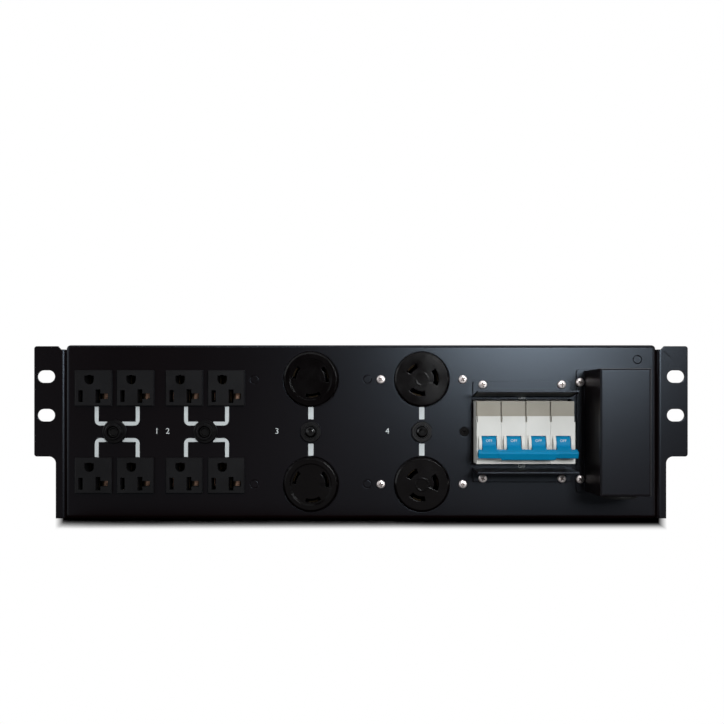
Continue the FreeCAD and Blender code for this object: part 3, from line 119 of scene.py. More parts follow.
class Tree:
    """A node tree, with the few nodes that the finishes and the studio are drawn with."""

    def __init__(self, owner: bpy.types.ID, coordinates: str) -> None:
        """Open a material's or world's node tree.

        Args:
            owner: the material or world.
            coordinates: the coordinates that its patterns follow.
        """
        owner.use_nodes = True
        self.nodes = owner.node_tree.nodes
        self.links = owner.node_tree.links
        self.place = self.nodes.new("ShaderNodeTexCoord").outputs[coordinates]

    def math(self, operation: str, first: object, second: object = 0.0) -> Socket:
        """Arithmetic on two values.

        Args:
            operation: the Math node's operation.
            first: socket or number.
            second: socket or number.

        Returns:
            The result's socket.
        """
        node = self.nodes.new("ShaderNodeMath")
        node.operation = operation
        for index, value in enumerate((first, second)):
            if isinstance(value, (int, float)):
                node.inputs[index].default_value = value
            else:
                self.links.new(value, node.inputs[index])
        return node.outputs[0]

    def noise(self, per_m: float, detail: float, roughness: float = 0.55) -> Socket:
        """Noise over the piece.

        Args:
            per_m: grains per metre.
            detail: octaves.
            roughness: strength of the finer octaves.

        Returns:
            The noise value's socket.
        """
        node = self.nodes.new("ShaderNodeTexNoise")
        for name, value in (("Scale", per_m), ("Detail", detail), ("Roughness", roughness)):
            node.inputs[name].default_value = value
        self.links.new(self.place, node.inputs["Vector"])
        return node.outputs["Fac"]

    def axis(self, name: str, place: Optional[Socket] = None) -> Socket:
        """One coordinate of a place.

        Args:
            name: X, Y or Z.
            place: coordinates, the tree's own when left out.

        Returns:
            The coordinate's socket.
        """
        node = self.nodes.new("ShaderNodeSeparateXYZ")
        self.links.new(place or self.place, node.inputs[0])
        return node.outputs[name]

    def spread(self, value: Socket, span: Span = NOISE_RANGE, to: Span = (0.0, 1.0),
               smooth: bool = False) -> Socket:
        """Value spread from one range to another, and held within it.

        Args:
            value: socket to spread.
            span: values that give the two ends, those of a noise when left out.
            to: results at the two ends.
            smooth: ease the two ends.

        Returns:
            The result's socket.
        """
        node = self.nodes.new("ShaderNodeMapRange")
        if smooth:
            node.interpolation_type = "SMOOTHERSTEP"
        for name, number in zip(("From Min", "From Max", "To Min", "To Max"), (*span, *to)):
            node.inputs[name].default_value = number
        self.links.new(value, node.inputs["Value"])
        return node.outputs["Result"]

    def blend(self, factor: Socket, first: object, second: object) -> Socket:
        """Colour between two colours.

        Args:
            factor: 0 for the first, 1 for the second.
            first: colour or socket.
            second: colour or socket.

        Returns:
            The colour's socket.
        """
        node = self.nodes.new("ShaderNodeMix")
        node.data_type = "RGBA"
        self.links.new(factor, node.inputs["Factor"])
        for name, value in (("A", first), ("B", second)):
            target = [s for s in node.inputs if s.name == name and s.type == "RGBA"][0]
            if isinstance(value, tuple):
                target.default_value = (*value, 1.0)
            else:
                self.links.new(value, target)
        return [s for s in node.outputs if s.type == "RGBA"][0]

    def seen(self, *rays: str) -> Socket:
        """Mask of some kinds of rays.

        Args:
            rays: the Light Path node's outputs.

        Returns:
            The mask's socket, 1 for any of them.
        """
        path = self.nodes.new("ShaderNodeLightPath")
        mask = path.outputs[rays[0]]
        for name in rays[1:]:
            mask = self.math("MAXIMUM", mask, path.outputs[name])
        return mask

    def cover(self, mask: Socket, under: Socket, over: Socket, output: str) -> None:
        """Lay one shader over another where a mask says so, and send it to the output.

        Args:
            mask: 1 where the upper shader shows.
            under: the lower shader.
            over: the upper shader.
            output: the output node's name.
        """
        mix = self.nodes.new("ShaderNodeMixShader")
        for index, socket in enumerate((mask, under, over)):
            self.links.new(socket, mix.inputs[index])
        self.links.new(mix.outputs[0], self.nodes[output].inputs["Surface"])


class Shader(Tree):
    """One material's Principled shader on Object coordinates."""

    def __init__(self, name: str) -> None:
        """Start the material.

        Args:
            name: the material's name.
        """
        self.material = bpy.data.materials.new(name)
        super().__init__(self.material, "Object")
        self.surface = self.nodes["Principled BSDF"]

    def set(self, **values: object) -> None:
        """Set constants on the shader's own sockets.

        Args:
            values: the constants by socket, with _ for a space in the socket's name.
        """
        for name, value in values.items():
            if isinstance(value, tuple) and len(value) == 3:
                value = (*value, 1.0)
            self.surface.inputs[name.replace("_", " ")].default_value = value

    def feed(self, name: str, socket: Socket) -> None:
        """Link a socket to one of the shader's inputs."""
        self.links.new(socket, self.surface.inputs[name])

    def bump(self, height: Socket, depth: float, strength: float, edge: float = 0.0) -> None:
        """Raise the surface by a height, over edges that are eased in the shading.

        Args:
            height: socket with the height.
            depth: depth in millimetres.
            strength: share of the depth that shows.
            edge: radius of the eased edges in millimetres, 0 for sharp ones.
        """
        node = self.nodes.new("ShaderNodeBump")
        node.inputs["Strength"].default_value = strength
        node.inputs["Distance"].default_value = depth * MM
        if edge:
            eased = self.nodes.new("ShaderNodeBevel")
            eased.samples = 6
            eased.inputs["Radius"].default_value = edge * MM
            self.links.new(eased.outputs["Normal"], node.inputs["Normal"])
        self.links.new(height, node.inputs["Height"])
        self.feed("Normal", node.outputs["Normal"])


@dataclass(frozen=True)
class RubMark:
    """Dull rub mark in the coat, between two places of the panel's own view."""

    start: Place
    end: Place
    width: float = 0.9
    side_fade: Span = (0.3, 0.55)
    tip_fade: Span = (0.44, 0.5)
    ragged: float = 0.25
    dulling: float = 0.45

    def roughness(self, shader: Shader) -> Socket:
        """What the mark adds to the coat's roughness.

        Args:
            shader: tree to draw in.

        Returns:
            The socket with the addition, 0 away from the mark.
        """
        start, end = spot(*self.start), spot(*self.end)
        run = end - start
        angle = math.atan2(run.z, run.x)
        middle = Matrix.Rotation(angle, 3, "Y") @ ((start + end) / 2)
        turned = shader.nodes.new("ShaderNodeMapping")
        turned.inputs["Location"].default_value = (-middle.x, 0, -middle.z)
        turned.inputs["Rotation"].default_value = (0, angle, 0)
        shader.links.new(shader.place, turned.inputs["Vector"])
        place = turned.outputs["Vector"]
        edge = self.ragged * MM
        wander = shader.spread(shader.noise(per_m=1100.0, detail=2.0), to=(-edge, edge))
        across = shader.math("ABSOLUTE", shader.math("ADD", shader.axis("Z", place), wander))
        along = shader.math("ABSOLUTE", shader.axis("X", place))
        thin = shader.spread(across, tuple(share * self.width * MM for share in self.side_fade), FALLING)
        short = shader.spread(along, tuple(share * run.length for share in self.tip_fade), FALLING)
        return shader.math("MULTIPLY", shader.math("MULTIPLY", thin, short), self.dulling)


@dataclass(frozen=True)
class PowderCoat:
    """Satin black powder coat on sheet steel, with a fine orange peel and a few lighter worn specks."""

    name: str = "powder_coat"
    colour: Colour = (0.0024, 0.0006, 0.0005)
    # Tone of the coat's lighter worn specks.
    rubbed: Colour = (0.012, 0.012, 0.014)
    rubbed_share: float = 0.5
    roughness: Span = (0.27, 0.30)
    cloud_gain: float = 1.35
    edge: float = 0.9
    mark: Optional[RubMark] = None

    def material(self) -> Material:
        """Draw the coat.

        Returns:
            The material.
        """
        shader = Shader(self.name)
        shader.set(Specular_IOR_Level=0.28, Specular_Tint=(0.70, 0.84, 1.0), Sheen_Weight=0.01,
                   Sheen_Roughness=0.35, Sheen_Tint=(0.85, 0.9, 1.0))
        cloud = shader.noise(per_m=9.0, detail=2.0)
        lighter = tuple(self.cloud_gain * part for part in self.colour)
        tone = shader.blend(shader.spread(cloud), self.colour, lighter)
        speck = shader.spread(shader.noise(per_m=900.0, detail=4.0, roughness=0.7), span=(0.66, 0.74))
        tone = shader.blend(shader.math("MULTIPLY", speck, self.rubbed_share), tone, self.rubbed)
        roughness = shader.spread(cloud, span=(0.2, 0.8), to=self.roughness)
        if self.mark:
            roughness = shader.math("ADD", roughness, self.mark.roughness(shader))
        shader.feed("Base Color", tone)
        shader.feed("Roughness", roughness)
        peel = shader.noise(per_m=1500.0, detail=2.0, roughness=0.6)
        shader.bump(peel, depth=0.03, strength=0.35, edge=self.edge)
        return shader.material


@dataclass(frozen=True)
class Plating:
    """Plated or unplated metal, with a grain in its tone, polish and surface."""

    name: str
    colour: Colour
    dulled: Colour
    roughness: float
    uneven: float = 0.16

    def material(self) -> Material:
        """Draw the metal.

        Returns:
            The material.
        """
        shader = Shader(self.name)
        shader.set(Metallic=1.0)
        grain = shader.noise(per_m=600.0, detail=4.0, roughness=0.65)
        tone = shader.blend(shader.spread(grain, span=(0.35, 0.7)), self.colour, self.dulled)
        shader.feed("Base Color", tone)
        roughness = (self.roughness, self.roughness + self.uneven)
        shader.feed("Roughness", shader.spread(grain, to=roughness))
        shader.bump(grain, depth=0.01, strength=0.3)
        return shader.material


@dataclass(frozen=True)
class ContactBrass:
    """Outlet clips' metal: painted shade in a near-black tone, with bright bands as painted glints where the
    slots catch the light.
    """

    name: str = "contact_brass"
    # Bright tone of the painted glints.
    bare: Colour = (0.46, 0.28, 0.20)
    # Near-black tone of the painted shade in the slots.
    tarnished: Colour = (0.02, 0.014, 0.008)
    columns: Tuple[float, ...] = (-196.7, -165.85, -129.85, -99.0)
    # Spans beside each outlet column where the glints are painted.
    rubbed: Tuple[Span, ...] = ((6.0, 9.0), (-11.0, -7.5))
    core: float = 0.5
    fade: float = 0.4
    roughness: Span = (0.34, 0.5)

    def material(self) -> Material:
        """Draw the clips' metal, with its painted glints and painted shade.

        Returns:
            The material.
        """
        shader = Shader(self.name)
        shader.set(Metallic=1.0)
        # Bright bands are painted glints where the slots catch the light; the rest is painted shade.
        across = shader.axis("X")
        bare = None
        for low, high in self.rubbed:
            half = (high - low) / 2
            fade = (self.core * half * MM, (half + self.fade) * MM)
            for column in self.columns:
                away = shader.math("SUBTRACT", across, (column + low + half) * MM)
                band = shader.spread(shader.math("ABSOLUTE", away), fade, FALLING)
                bare = band if bare is None else shader.math("MAXIMUM", bare, band)
        shader.feed("Base Color", shader.blend(bare, self.tarnished, self.bare))
        grain = shader.noise(per_m=600.0, detail=4.0, roughness=0.65)
        shader.feed("Roughness", shader.spread(grain, to=self.roughness))
        return shader.material


@dataclass(frozen=True)
class Moulding:
    """Moulded plastic: a slight flow in its tone and polish, and grain from the tool."""

    name: str
    colour: Colour
    light: Colour
    roughness: float
    gloss: float
    uneven: Span = (-0.04, 0.06)
    grain_depth: float = 0.015
    edge: float = 0.0

    def material(self) -> Material:
        """Draw the plastic.

        Returns:
            The material.
        """
        shader = Shader(self.name)
        shader.set(Specular_IOR_Level=self.gloss)
        flow = shader.noise(per_m=60.0, detail=3.0)
        shader.feed("Base Color", shader.blend(shader.spread(flow), self.colour, self.light))
        roughness = tuple(self.roughness + step for step in self.uneven)
        shader.feed("Roughness", shader.spread(flow, to=roughness))
        grain = shader.noise(per_m=2200.0, detail=2.0, roughness=0.6)
        shader.bump(grain, self.grain_depth, strength=0.5, edge=self.edge)
        return shader.material


@dataclass(frozen=True)
class BreakerCase:
    """Light moulded case of the input breaker, darker and warmer beige across the top of its nose."""

    name: str = "breaker_plastic"
    white: Colour = (0.67, 0.655, 0.615)
    shade: Colour = (0.62, 0.605, 0.565)
    beige: Colour = (0.325, 0.295, 0.24)
    beige_gain: float = 0.92
    insert_rise: float = 75.7
    insert_out: float = 12.0
    fade: float = 0.05
    roughness: Span = (0.42, 0.5)

    def material(self) -> Material:
        """Draw the case and its beige zone.

        Returns:
            The material.
        """
        shader = Shader(self.name)
        shader.set(Specular_IOR_Level=0.35)
        flow = shader.noise(per_m=45.0, detail=3.0)
        patchy = shader.spread(flow)
        case = shader.blend(patchy, self.white, self.shade)
        beige_zone = shader.blend(patchy, self.beige, tuple(self.beige_gain * part for part in self.beige))
        corner = spot(0, self.insert_rise, self.insert_out)
        fade = self.fade * MM
        above = shader.spread(shader.axis("Z"), (corner.z - fade, corner.z + fade))
        ahead = shader.spread(shader.axis("Y"), (corner.y - fade, corner.y + fade), FALLING)
        shader.feed("Base Color", shader.blend(shader.math("MULTIPLY", above, ahead), case, beige_zone))
        shader.feed("Roughness", shader.spread(flow, to=self.roughness))
        shader.bump(shader.noise(per_m=2400.0, detail=2.0), depth=0.012, strength=0.4)
        return shader.material


@dataclass(frozen=True)
class Ink:
    """White screen print, a little thin and rough where the coat's peel shows through."""

    name: str = "white_print"
    colour: Colour = (0.59, 0.62, 0.62)
    thin: Colour = (0.46, 0.485, 0.485)
    roughness: Span = (0.5, 0.62)

    def material(self) -> Material:
        """Draw the print.

        Returns:
            The material.
        """
        shader = Shader(self.name)
        shader.set(Specular_IOR_Level=0.2)
        wear = shader.noise(per_m=1400.0, detail=3.0, roughness=0.6)
        worn = shader.spread(wear, span=(0.5, 0.75))
        shader.feed("Base Color", shader.blend(worn, self.colour, self.thin))
        shader.feed("Roughness", shader.spread(wear, to=self.roughness))
        return shader.material


# Modelling by hand


class Bench:
    """The few hand operations that the new pieces are shaped with."""

    @staticmethod
    def clear() -> None:
        """Leave edit mode and deselect everything."""
        if bpy.context.object and bpy.context.object.mode != "OBJECT":
            bpy.ops.object.mode_set(mode="OBJECT")
        bpy.ops.object.select_all(action="DESELECT")

    @staticmethod
    def take(name: str) -> Piece:
        """Name the object that was just added or joined.

        Args:
            name: its name.

        Returns:
            The object.
        """
        piece = bpy.context.object
        piece.name = name
        piece.data.name = name
        return piece

    @staticmethod
    def select(piece: Piece, pick: Pick, wanted: Callable[..., bool]) -> None:
        """Open a piece in edit mode with some of its corners, edges or faces selected.

        Args:
            piece: the mesh object.
            pick: what is selected.
            wanted: test on a corner's place, an edge's two ends, or a face's middle and normal.
        """
        bpy.context.tool_settings.mesh_select_mode = pick.value
        bpy.ops.object.mode_set(mode="EDIT")
        bpy.ops.mesh.select_all(action="DESELECT")
        bpy.ops.object.mode_set(mode="OBJECT")
        mesh = piece.data
        if pick is Pick.CORNERS:
            for corner in mesh.vertices:
                corner.select = wanted(corner.co)
        elif pick is Pick.EDGES:
            for edge in mesh.edges:
                edge.select = wanted(*(mesh.vertices[index].co for index in edge.vertices))
        else:
            for face in mesh.polygons:
                face.select = wanted(face.center, face.normal)
        bpy.ops.object.mode_set(mode="EDIT")

    @staticmethod
    def extrude(move: Sequence[float]) -> None:
        """Extrude what is selected by a move in metres."""
        bpy.ops.mesh.extrude_region_move(TRANSFORM_OT_translate={"value": move})

    @staticmethod
    def close() -> None:
        """Go back to object mode."""
        bpy.ops.object.mode_set(mode="OBJECT")

    @staticmethod
    def apply(piece: Piece, kind: str, **settings: object) -> None:
        """Add a modifier to a piece and apply it.

        Args:
            piece: the mesh object.
            kind: modifier type.
            settings: the modifier's properties.
        """
        modifier = piece.modifiers.new(kind.title(), kind)
        for name, value in settings.items():
            setattr(modifier, name, value)
        bpy.context.view_layer.objects.active = piece
        bpy.ops.object.modifier_apply(modifier=modifier.name)

    @staticmethod
    def letters(name: str, text: str, height: float, half: float, bold: float = 0.0,
                steps: int = 12) -> Piece:
        """Set a word in thin letters, flat at the origin.

        Args:
            name: the piece's name.
            text: what it says.
            height: height of its capitals in millimetres.
            half: half of the letters' thickness in millimetres.
            bold: growth of each stroke's edge in millimetres.
            steps: straight runs in each curve of a letter.

        Returns:
            The word as a mesh that faces up.
        """
        Bench.clear()
        bpy.ops.object.text_add()
        word = bpy.context.object.data
        word.body = text
        word.align_x = "CENTER"
        word.align_y = "CENTER"
        word.size = TEXT_PER_CAPITAL * height * MM
        word.extrude = half * MM
        word.offset = bold * MM
        word.resolution_u = steps
        bpy.ops.object.convert(target="MESH")
        return Bench.take(name)

    @staticmethod
    def join(name: str, members: Sequence[Piece]) -> Piece:
        """Join pieces into one object.

        Args:
            name: the joined object's name.
            members: two or more pieces, the first of which is kept.

        Returns:
            The joined object.
        """
        Bench.clear()
        for member in members:
            member.select_set(True)
        bpy.context.view_layer.objects.active = members[0]
        bpy.ops.object.join()
        return Bench.take(name)


def settle(piece: Piece, material: Optional[Material], rider: Rider = Rider.FRAME,
           instead_of: Iterable[str] = ()) -> None:
    """Give a finished piece its material and body, and report it.

    Args:
        piece: the finished piece.
        material: its material, or None where it has its materials already.
        rider: the body it moves with.
        instead_of: CAD nodes that it stands for.
    """
    if material:
        piece.data.materials.clear()
        piece.data.materials.append(material)
    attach(piece, rider.value)
    for node in instead_of:
        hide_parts(node)
    log.info("%s: %d faces on %s", piece.name, len(piece.data.polygons), rider.value)


# Pieces


@dataclass(frozen=True)
class CrossScrew:
    """Cross-recess screw, head up, with a pan head's seat or a countersunk head's top at the origin."""

    head_radius: float = 3.2
    head_height: float = 2.2
    rim_round: float = 0.62
    crown: float = 0.35
    crown_steps: Tuple[float, ...] = (0.7, 0.3)
    crown_inset: float = 0.25
    land: float = 0.2
    shank_radius: float = 1.7
    length: float = 7.0
    tip: float = 0.82
    wing: float = 4.2
    wing_width: float = 1.1
    wing_taper: Point = (0.45, 0.75, 1.0)
    depth: float = 1.5
    smooth_angle: float = 32.0
    # Which faces inside the cross recess take the painted shade.
    grime_reach: float = 0.55
    grime_slope: float = 0.6
    grime_depth: float = 0.6
    grime_slack: float = 0.05
    sunk: bool = False

    @property
    def top(self) -> float:
        """Height of the head's top over the origin."""
        return 0.0 if self.sunk else self.head_height

    def cutter(self) -> Piece:
        """Tapered cross that cuts the recess.

        Returns:
            The cutting piece.
        """
        wings = []
        size = Matrix.Diagonal((self.wing * MM, self.wing_width * MM, 2 * self.depth * MM, 1))
        for turn in (0.0, math.pi / 2):
            Bench.clear()
            bpy.ops.mesh.primitive_cube_add(size=1.0)
            wing = Bench.take("recess_wing")
            wing.data.transform(size)
            Bench.select(wing, Pick.FACES, lambda middle, normal: normal.z < -LEVEL)
            bpy.ops.transform.resize(value=self.wing_taper)
            Bench.close()
            wing.data.transform(Matrix.Translation((0, 0, self.top * MM)) @ Matrix.Rotation(turn, 4, "Z"))
            wings.append(wing)
        Bench.apply(wings[0], "BOOLEAN", object=wings[1], operation="UNION", solver="EXACT")
        bpy.data.objects.remove(wings[1])
        return wings[0]

    def disc(self, low: float, high: float) -> Piece:
        """Plain disc that the head starts from.

        Args:
            low: height of its underside in millimetres.
            high: height of its top in millimetres.

        Returns:
            The disc.
        """
        Bench.clear()
        bpy.ops.mesh.primitive_cylinder_add(vertices=32, radius=self.head_radius * MM,
                                            depth=(high - low) * MM, location=(0, 0, (low + high) / 2 * MM))
        bpy.ops.object.transform_apply(location=True)
        return Bench.take("screw_blank")

    def pan(self) -> Piece:
        """Pan head on its shank, before the recess.

        Returns:
            The blank.
        """
        rim = self.head_height - self.crown
        blank = self.disc(0.0, rim)
        high = rim * MM - NEAR
        Bench.select(blank, Pick.EDGES, lambda first, second: min(first.z, second.z) > high)
        bpy.ops.mesh.bevel(offset=self.rim_round * rim * MM, segments=5, profile=0.55, affect="EDGES")
        Bench.select(blank, Pick.FACES, lambda middle, normal: middle.z > high)
        inset = self.crown_inset * self.head_radius * MM
        for share in self.crown_steps:
            bpy.ops.mesh.inset(thickness=inset, depth=share * self.crown * MM)
        Bench.close()
        Bench.select(blank, Pick.FACES, lambda middle, normal: normal.z < -LEVEL)
        bpy.ops.mesh.inset(thickness=(self.head_radius - self.shank_radius) * MM, depth=0)
        Bench.extrude((0, 0, -self.length * MM))
        bpy.ops.transform.resize(value=(self.tip, self.tip, 1.0))
        Bench.close()
        return blank

    def countersunk(self) -> Piece:
        """Countersunk head on its shank, before the recess.

        Returns:
            The blank.
        """
        blank = self.disc(-self.land, 0.0)
        Bench.select(blank, Pick.FACES, lambda middle, normal: normal.z < -LEVEL)
        narrow = self.shank_radius / self.head_radius
        cone = self.head_radius - self.shank_radius
        Bench.extrude((0, 0, -cone * MM))
        bpy.ops.transform.resize(value=(narrow, narrow, 1.0))
        Bench.extrude((0, 0, -(self.length - cone) * MM))
        Bench.close()
        return blank

    def build(self, metal: Material, recess_shade: Material) -> Piece:
        """Model the screw.

        Args:
            metal: plating of the screw.
            recess_shade: darker plating for the faces inside the recess, as painted shade.

        Returns:
            The screw.
        """
        screw = self.countersunk() if self.sunk else self.pan()
        cross = self.cutter()
        Bench.apply(screw, "BOOLEAN", object=cross, operation="DIFFERENCE", solver="EXACT")
        bpy.data.objects.remove(cross)
        Bench.clear()
        screw.select_set(True)
        bpy.context.view_layer.objects.active = screw
        bpy.ops.object.shade_smooth_by_angle(angle=math.radians(self.smooth_angle))
        screw.data.materials.append(metal)
        screw.data.materials.append(recess_shade)
        # Faces deep in the cross recess take the second material: darker plating as painted shade.
        floor = (self.top - self.depth - self.grime_slack) * MM
        deep = (self.top - self.grime_depth * self.depth) * MM
        for face in screw.data.polygons:
            near, far = sorted((abs(face.center.x), abs(face.center.y)))
            across = near < self.grime_reach * self.wing_width * MM
            along = far < self.grime_reach * self.wing * MM
            steep = face.normal.z < self.grime_slope or face.center.z < deep
            face.material_index = int(across and along and steep and face.center.z > floor)
        return screw


def solids_of(node: str) -> List[Box]:
    """Boxes of the separate solids in a CAD node's mesh.

    Args:
        node: the node's name.

    Returns:
        Lowest and highest corner of each solid.
    """
    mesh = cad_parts[node].data
    corners = [tuple(round(part / WELD) for part in vertex.co) for vertex in mesh.vertices]
    # Corners that edges join are gathered into one set, which is one solid.
    solid = {corner: {corner} for corner in corners}
    for edge in mesh.edges:
        first, second = (solid[corners[index]] for index in edge.vertices)
        if first is not second:
            first |= second
            solid.update(dict.fromkeys(second, first))
    points = {}
    for vertex, corner in zip(mesh.vertices, corners):
        points.setdefault(id(solid[corner]), []).append(vertex.co)
    boxes = [(Vector(map(min, zip(*group))), Vector(map(max, zip(*group)))) for group in points.values()]
    return sorted(boxes, key=lambda box: tuple(box[0]))


@dataclass
class Fasteners:
    """All the unit's visible screws, each with its recess turned its own way."""

    pan: CrossScrew = CrossScrew()
    flat: CrossScrew = CrossScrew(head_radius=3.4, wing=3.6, sunk=True)
    twist_start: float = 11.0
    twist_step: float = 37.0
    nickel: Plating = Plating("nickel", (0.90, 0.82, 0.80), (0.74, 0.66, 0.63), 0.34)
    # Darker nickel for the faces inside the recess: painted shade.
    recess: Plating = Plating("nickel_recess_painted_shade", (0.30, 0.25, 0.23), (0.20, 0.17, 0.16), 0.5)

    def group(self, node: str, pattern: Piece, facing: Facing) -> List[Piece]:
        """Copies of a screw on each solid of a CAD node that faces one way.

        Args:
            node: CAD node whose solids give the places.
            pattern: the modelled screw.
            facing: way the heads look.

        Returns:
            The copies.
        """
        copies = []
        for number, (low, high) in enumerate(solids_of(node)):
            seat = self.seat(facing, low, high, pattern)
            if seat is None:
                continue
            twist = Matrix.Rotation(math.radians(self.twist_step * number + self.twist_start), 4, "Z")
            screw = pattern.copy()
            screw.data = pattern.data.copy()
            screw.name = screw.data.name = f"{node}_{number + 1}"
            screw.data.transform(Matrix.Translation(seat) @ facing.turn() @ twist)
            bpy.context.scene.collection.objects.link(screw)
            copies.append(screw)
        return copies

    def seat(self, facing: Facing, low: Vector, high: Vector, pattern: Piece) -> Optional[Vector]:
        """Where a screw's origin goes on a CAD screw, if that one is on the given side of the unit.

        Args:
            facing: way the head looks.
            low: the CAD screw's lowest corner.
            high: the CAD screw's highest corner.
            pattern: the modelled screw, whose head ends just inside the CAD one.

        Returns:
            The origin's place, or None.
        """
        way = facing.turn().to_3x3() @ Vector((0, 0, 1))
        middle = (low + high) / 2
        if way.dot(middle - Vector((0, CHASSIS_BACK / 2, 0))) < 0:
            return None
        head = max(corner[2] for corner in pattern.bound_box) + SEAT_SINK * MM
        return middle + way * (abs(way.dot(high - low)) / 2 - head)

    def build(self, black: Material) -> None:
        """Model the screws and put them in place of the plain CAD ones.

        Args:
            black: black oxide.
        """
        bright = self.pan.build(self.nickel.material(), self.recess.material())
        dark = self.pan.build(black, black)
        flat = self.flat.build(black, black)
        sets = (("panel_screws_cross", "panel_screws", "nickel", None, ((bright, Facing.FRONT),)),
                ("rear_screws_cross", "rear_cover_screws", "nickel", None, ((bright, Facing.BACK),)),
                ("ear_screws_cross", "ear_screws", "nickel", None,
                 ((bright, Facing.LEFT), (bright, Facing.RIGHT))),
                ("rail_screws_cross", "rail_screws", "black_screw", black,
                 ((flat, Facing.FRONT), (dark, Facing.BACK))))
        for name, node, slot, material, rows in sets:
            screws = [screw for pattern, facing in rows for screw in self.group(node, pattern, facing)]
            settle(Bench.join(name, screws), material, instead_of=[node])
        for pattern in (bright, dark, flat):
            bpy.data.objects.remove(pattern)


@dataclass
class PrintedTraces:
    """White printed lines from each outlet to the breaker that protects it."""

    line: float = 2.85
    bar: float = 3.9
    bar_ease: float = 0.35
    corner: float = 4.0
    film: float = 0.06
    film_share: float = 0.8
    outlet_edges: Span = (82.6, 45.4)
    levels: Span = (70.05, 57.95)
    columns: Tuple[float, ...] = (-194.7, -164.5, -128.9, -98.7)
    collars: Span = (-181.3, -114.4)
    collar_reach: float = 5.6
    bar_columns: Span = (-36.9, 44.8)
    bar_spans: Tuple[Span, Span] = ((82.2, 73.2), (55.3, 46.4))

    def sheet(self, x: Span, rise: Span) -> Piece:
        """Flat start of a line on the panel's face.

        Args:
            x: left and right edge.
            rise: its two ends in height.

        Returns:
            The flat piece, facing forwards.
        """
        Bench.clear()
        bpy.ops.mesh.primitive_plane_add(size=1.0)
        flat = Bench.take("trace")
        low, high = sorted(rise)
        size = Matrix.Diagonal(((x[1] - x[0]) * MM, (high - low) * MM, 1, 1))
        middle = spot((x[0] + x[1]) / 2, (low + high) / 2, self.film)
        flat.data.transform(Matrix.Translation(middle) @ UPRIGHT @ size)
        return flat

    def elbow(self, column: float, edge: float, level: float, end: float) -> Piece:
        """One L-shaped line.

        Args:
            column: middle of the upright leg.
            edge: the outlet's edge, where the leg starts.
            level: middle of the flat leg.
            end: end of the flat leg at the collar.

        Returns:
            The line.
        """
        half = self.line / 2
        way = math.copysign(1.0, level - edge)
        side = math.copysign(1.0, end - column)
        knee = level - way * half
        piece = self.sheet((column - half, column + half), (edge, knee))
        rim = spot(0, knee).z
        Bench.select(piece, Pick.EDGES, lambda a, b: max(abs(a.z - rim), abs(b.z - rim)) < NEAR)
        Bench.extrude((0, 0, way * self.line * MM))
        Bench.close()
        wall = spot(column + side * half, level)
        Bench.select(piece, Pick.EDGES, lambda a, b: max(abs(a.x - wall.x), abs(b.x - wall.x)) < NEAR
                     and abs((a.z + b.z) / 2 - wall.z) < NEAR)
        Bench.extrude((side * (abs(end - column) - half) * MM, 0, 0))
        bpy.ops.mesh.select_all(action="SELECT")
        bpy.ops.mesh.dissolve_limited(angle_limit=math.radians(1.0))
        Bench.close()
        tip = spot(column - side * half, level + way * half)
        Bench.select(piece, Pick.CORNERS, lambda c: max(abs(c.x - tip.x), abs(c.z - tip.z)) < NEAR)
        bpy.ops.mesh.bevel(offset=self.corner * MM, segments=8, affect="VERTICES")
        Bench.close()
        return piece

    def straight(self, column: float, span: Span) -> Piece:
        """One upright bar with its corners just eased.

        Args:
            column: middle of the bar.
            span: its two ends.

        Returns:
            The bar.
        """
        half = self.bar / 2
        piece = self.sheet((column - half, column + half), span)
        Bench.select(piece, Pick.CORNERS, lambda c: True)
        bpy.ops.mesh.bevel(offset=self.bar_ease * MM, segments=3, affect="VERTICES")
        Bench.close()
        return piece

    def build(self, ink: Material) -> None:
        """Print all the lines as one piece.

        Args:
            ink: the white print.
        """
        lines = []
        for index, column in enumerate(self.columns):
            collar = self.collars[index // 2]
            end = collar + math.copysign(self.collar_reach, column - collar)
            for edge, level in zip(self.outlet_edges, self.levels):
                lines.append(self.elbow(column, edge, level, end))
        lines += [self.straight(column, span) for column in self.bar_columns for span in self.bar_spans]
        traces = Bench.join("printed_traces", lines)
        Bench.apply(traces, "SOLIDIFY", thickness=self.film_share * self.film * MM, offset=-1.0)
        settle(traces, ink)


@dataclass
class PrintedMarks:
    """Plain bank numbers on the panel, and ON and OFF by the input breaker."""

    film: float = 0.05
    bold: float = 0.12
    number_height: float = 4.2
    number_rise: float = 64.4
    numbers: Tuple[float, ...] = (-150.4, -142.4, -61.9, 19.5)
    word_height: float = 2.2
    word_x: float = 118.4
    words: Tuple[Tuple[str, float], ...] = (("ON", 88.9), ("OFF", 38.4))

    def mark(self, text: str, x: float, rise: float, height: float, bold: float = 0.0) -> Piece:
        """One printed word or number.

        Args:
            text: what it says.
            x: its middle.
            rise: its middle.
            height: height of its capitals.
            bold: growth of its strokes.

        Returns:
            The print on the panel's face.
        """
        piece = Bench.letters(f"print_{text.lower()}", text, height, half=0.4 * self.film, bold=bold,
                              steps=6)
        piece.data.transform(Matrix.Translation(spot(x, rise, 0.5 * self.film)) @ UPRIGHT)
        return piece

    def build(self, ink: Material) -> None:
        """Print the marks as one piece.

        Args:
            ink: the white print.
        """
        marks = [self.mark(str(number), x, self.number_rise, self.number_height)
                 for number, x in enumerate(self.numbers, 1)]
        marks += [self.mark(word, self.word_x, rise, self.word_height, self.bold)
                  for word, rise in self.words]
        settle(Bench.join("printed_marks", marks), ink)


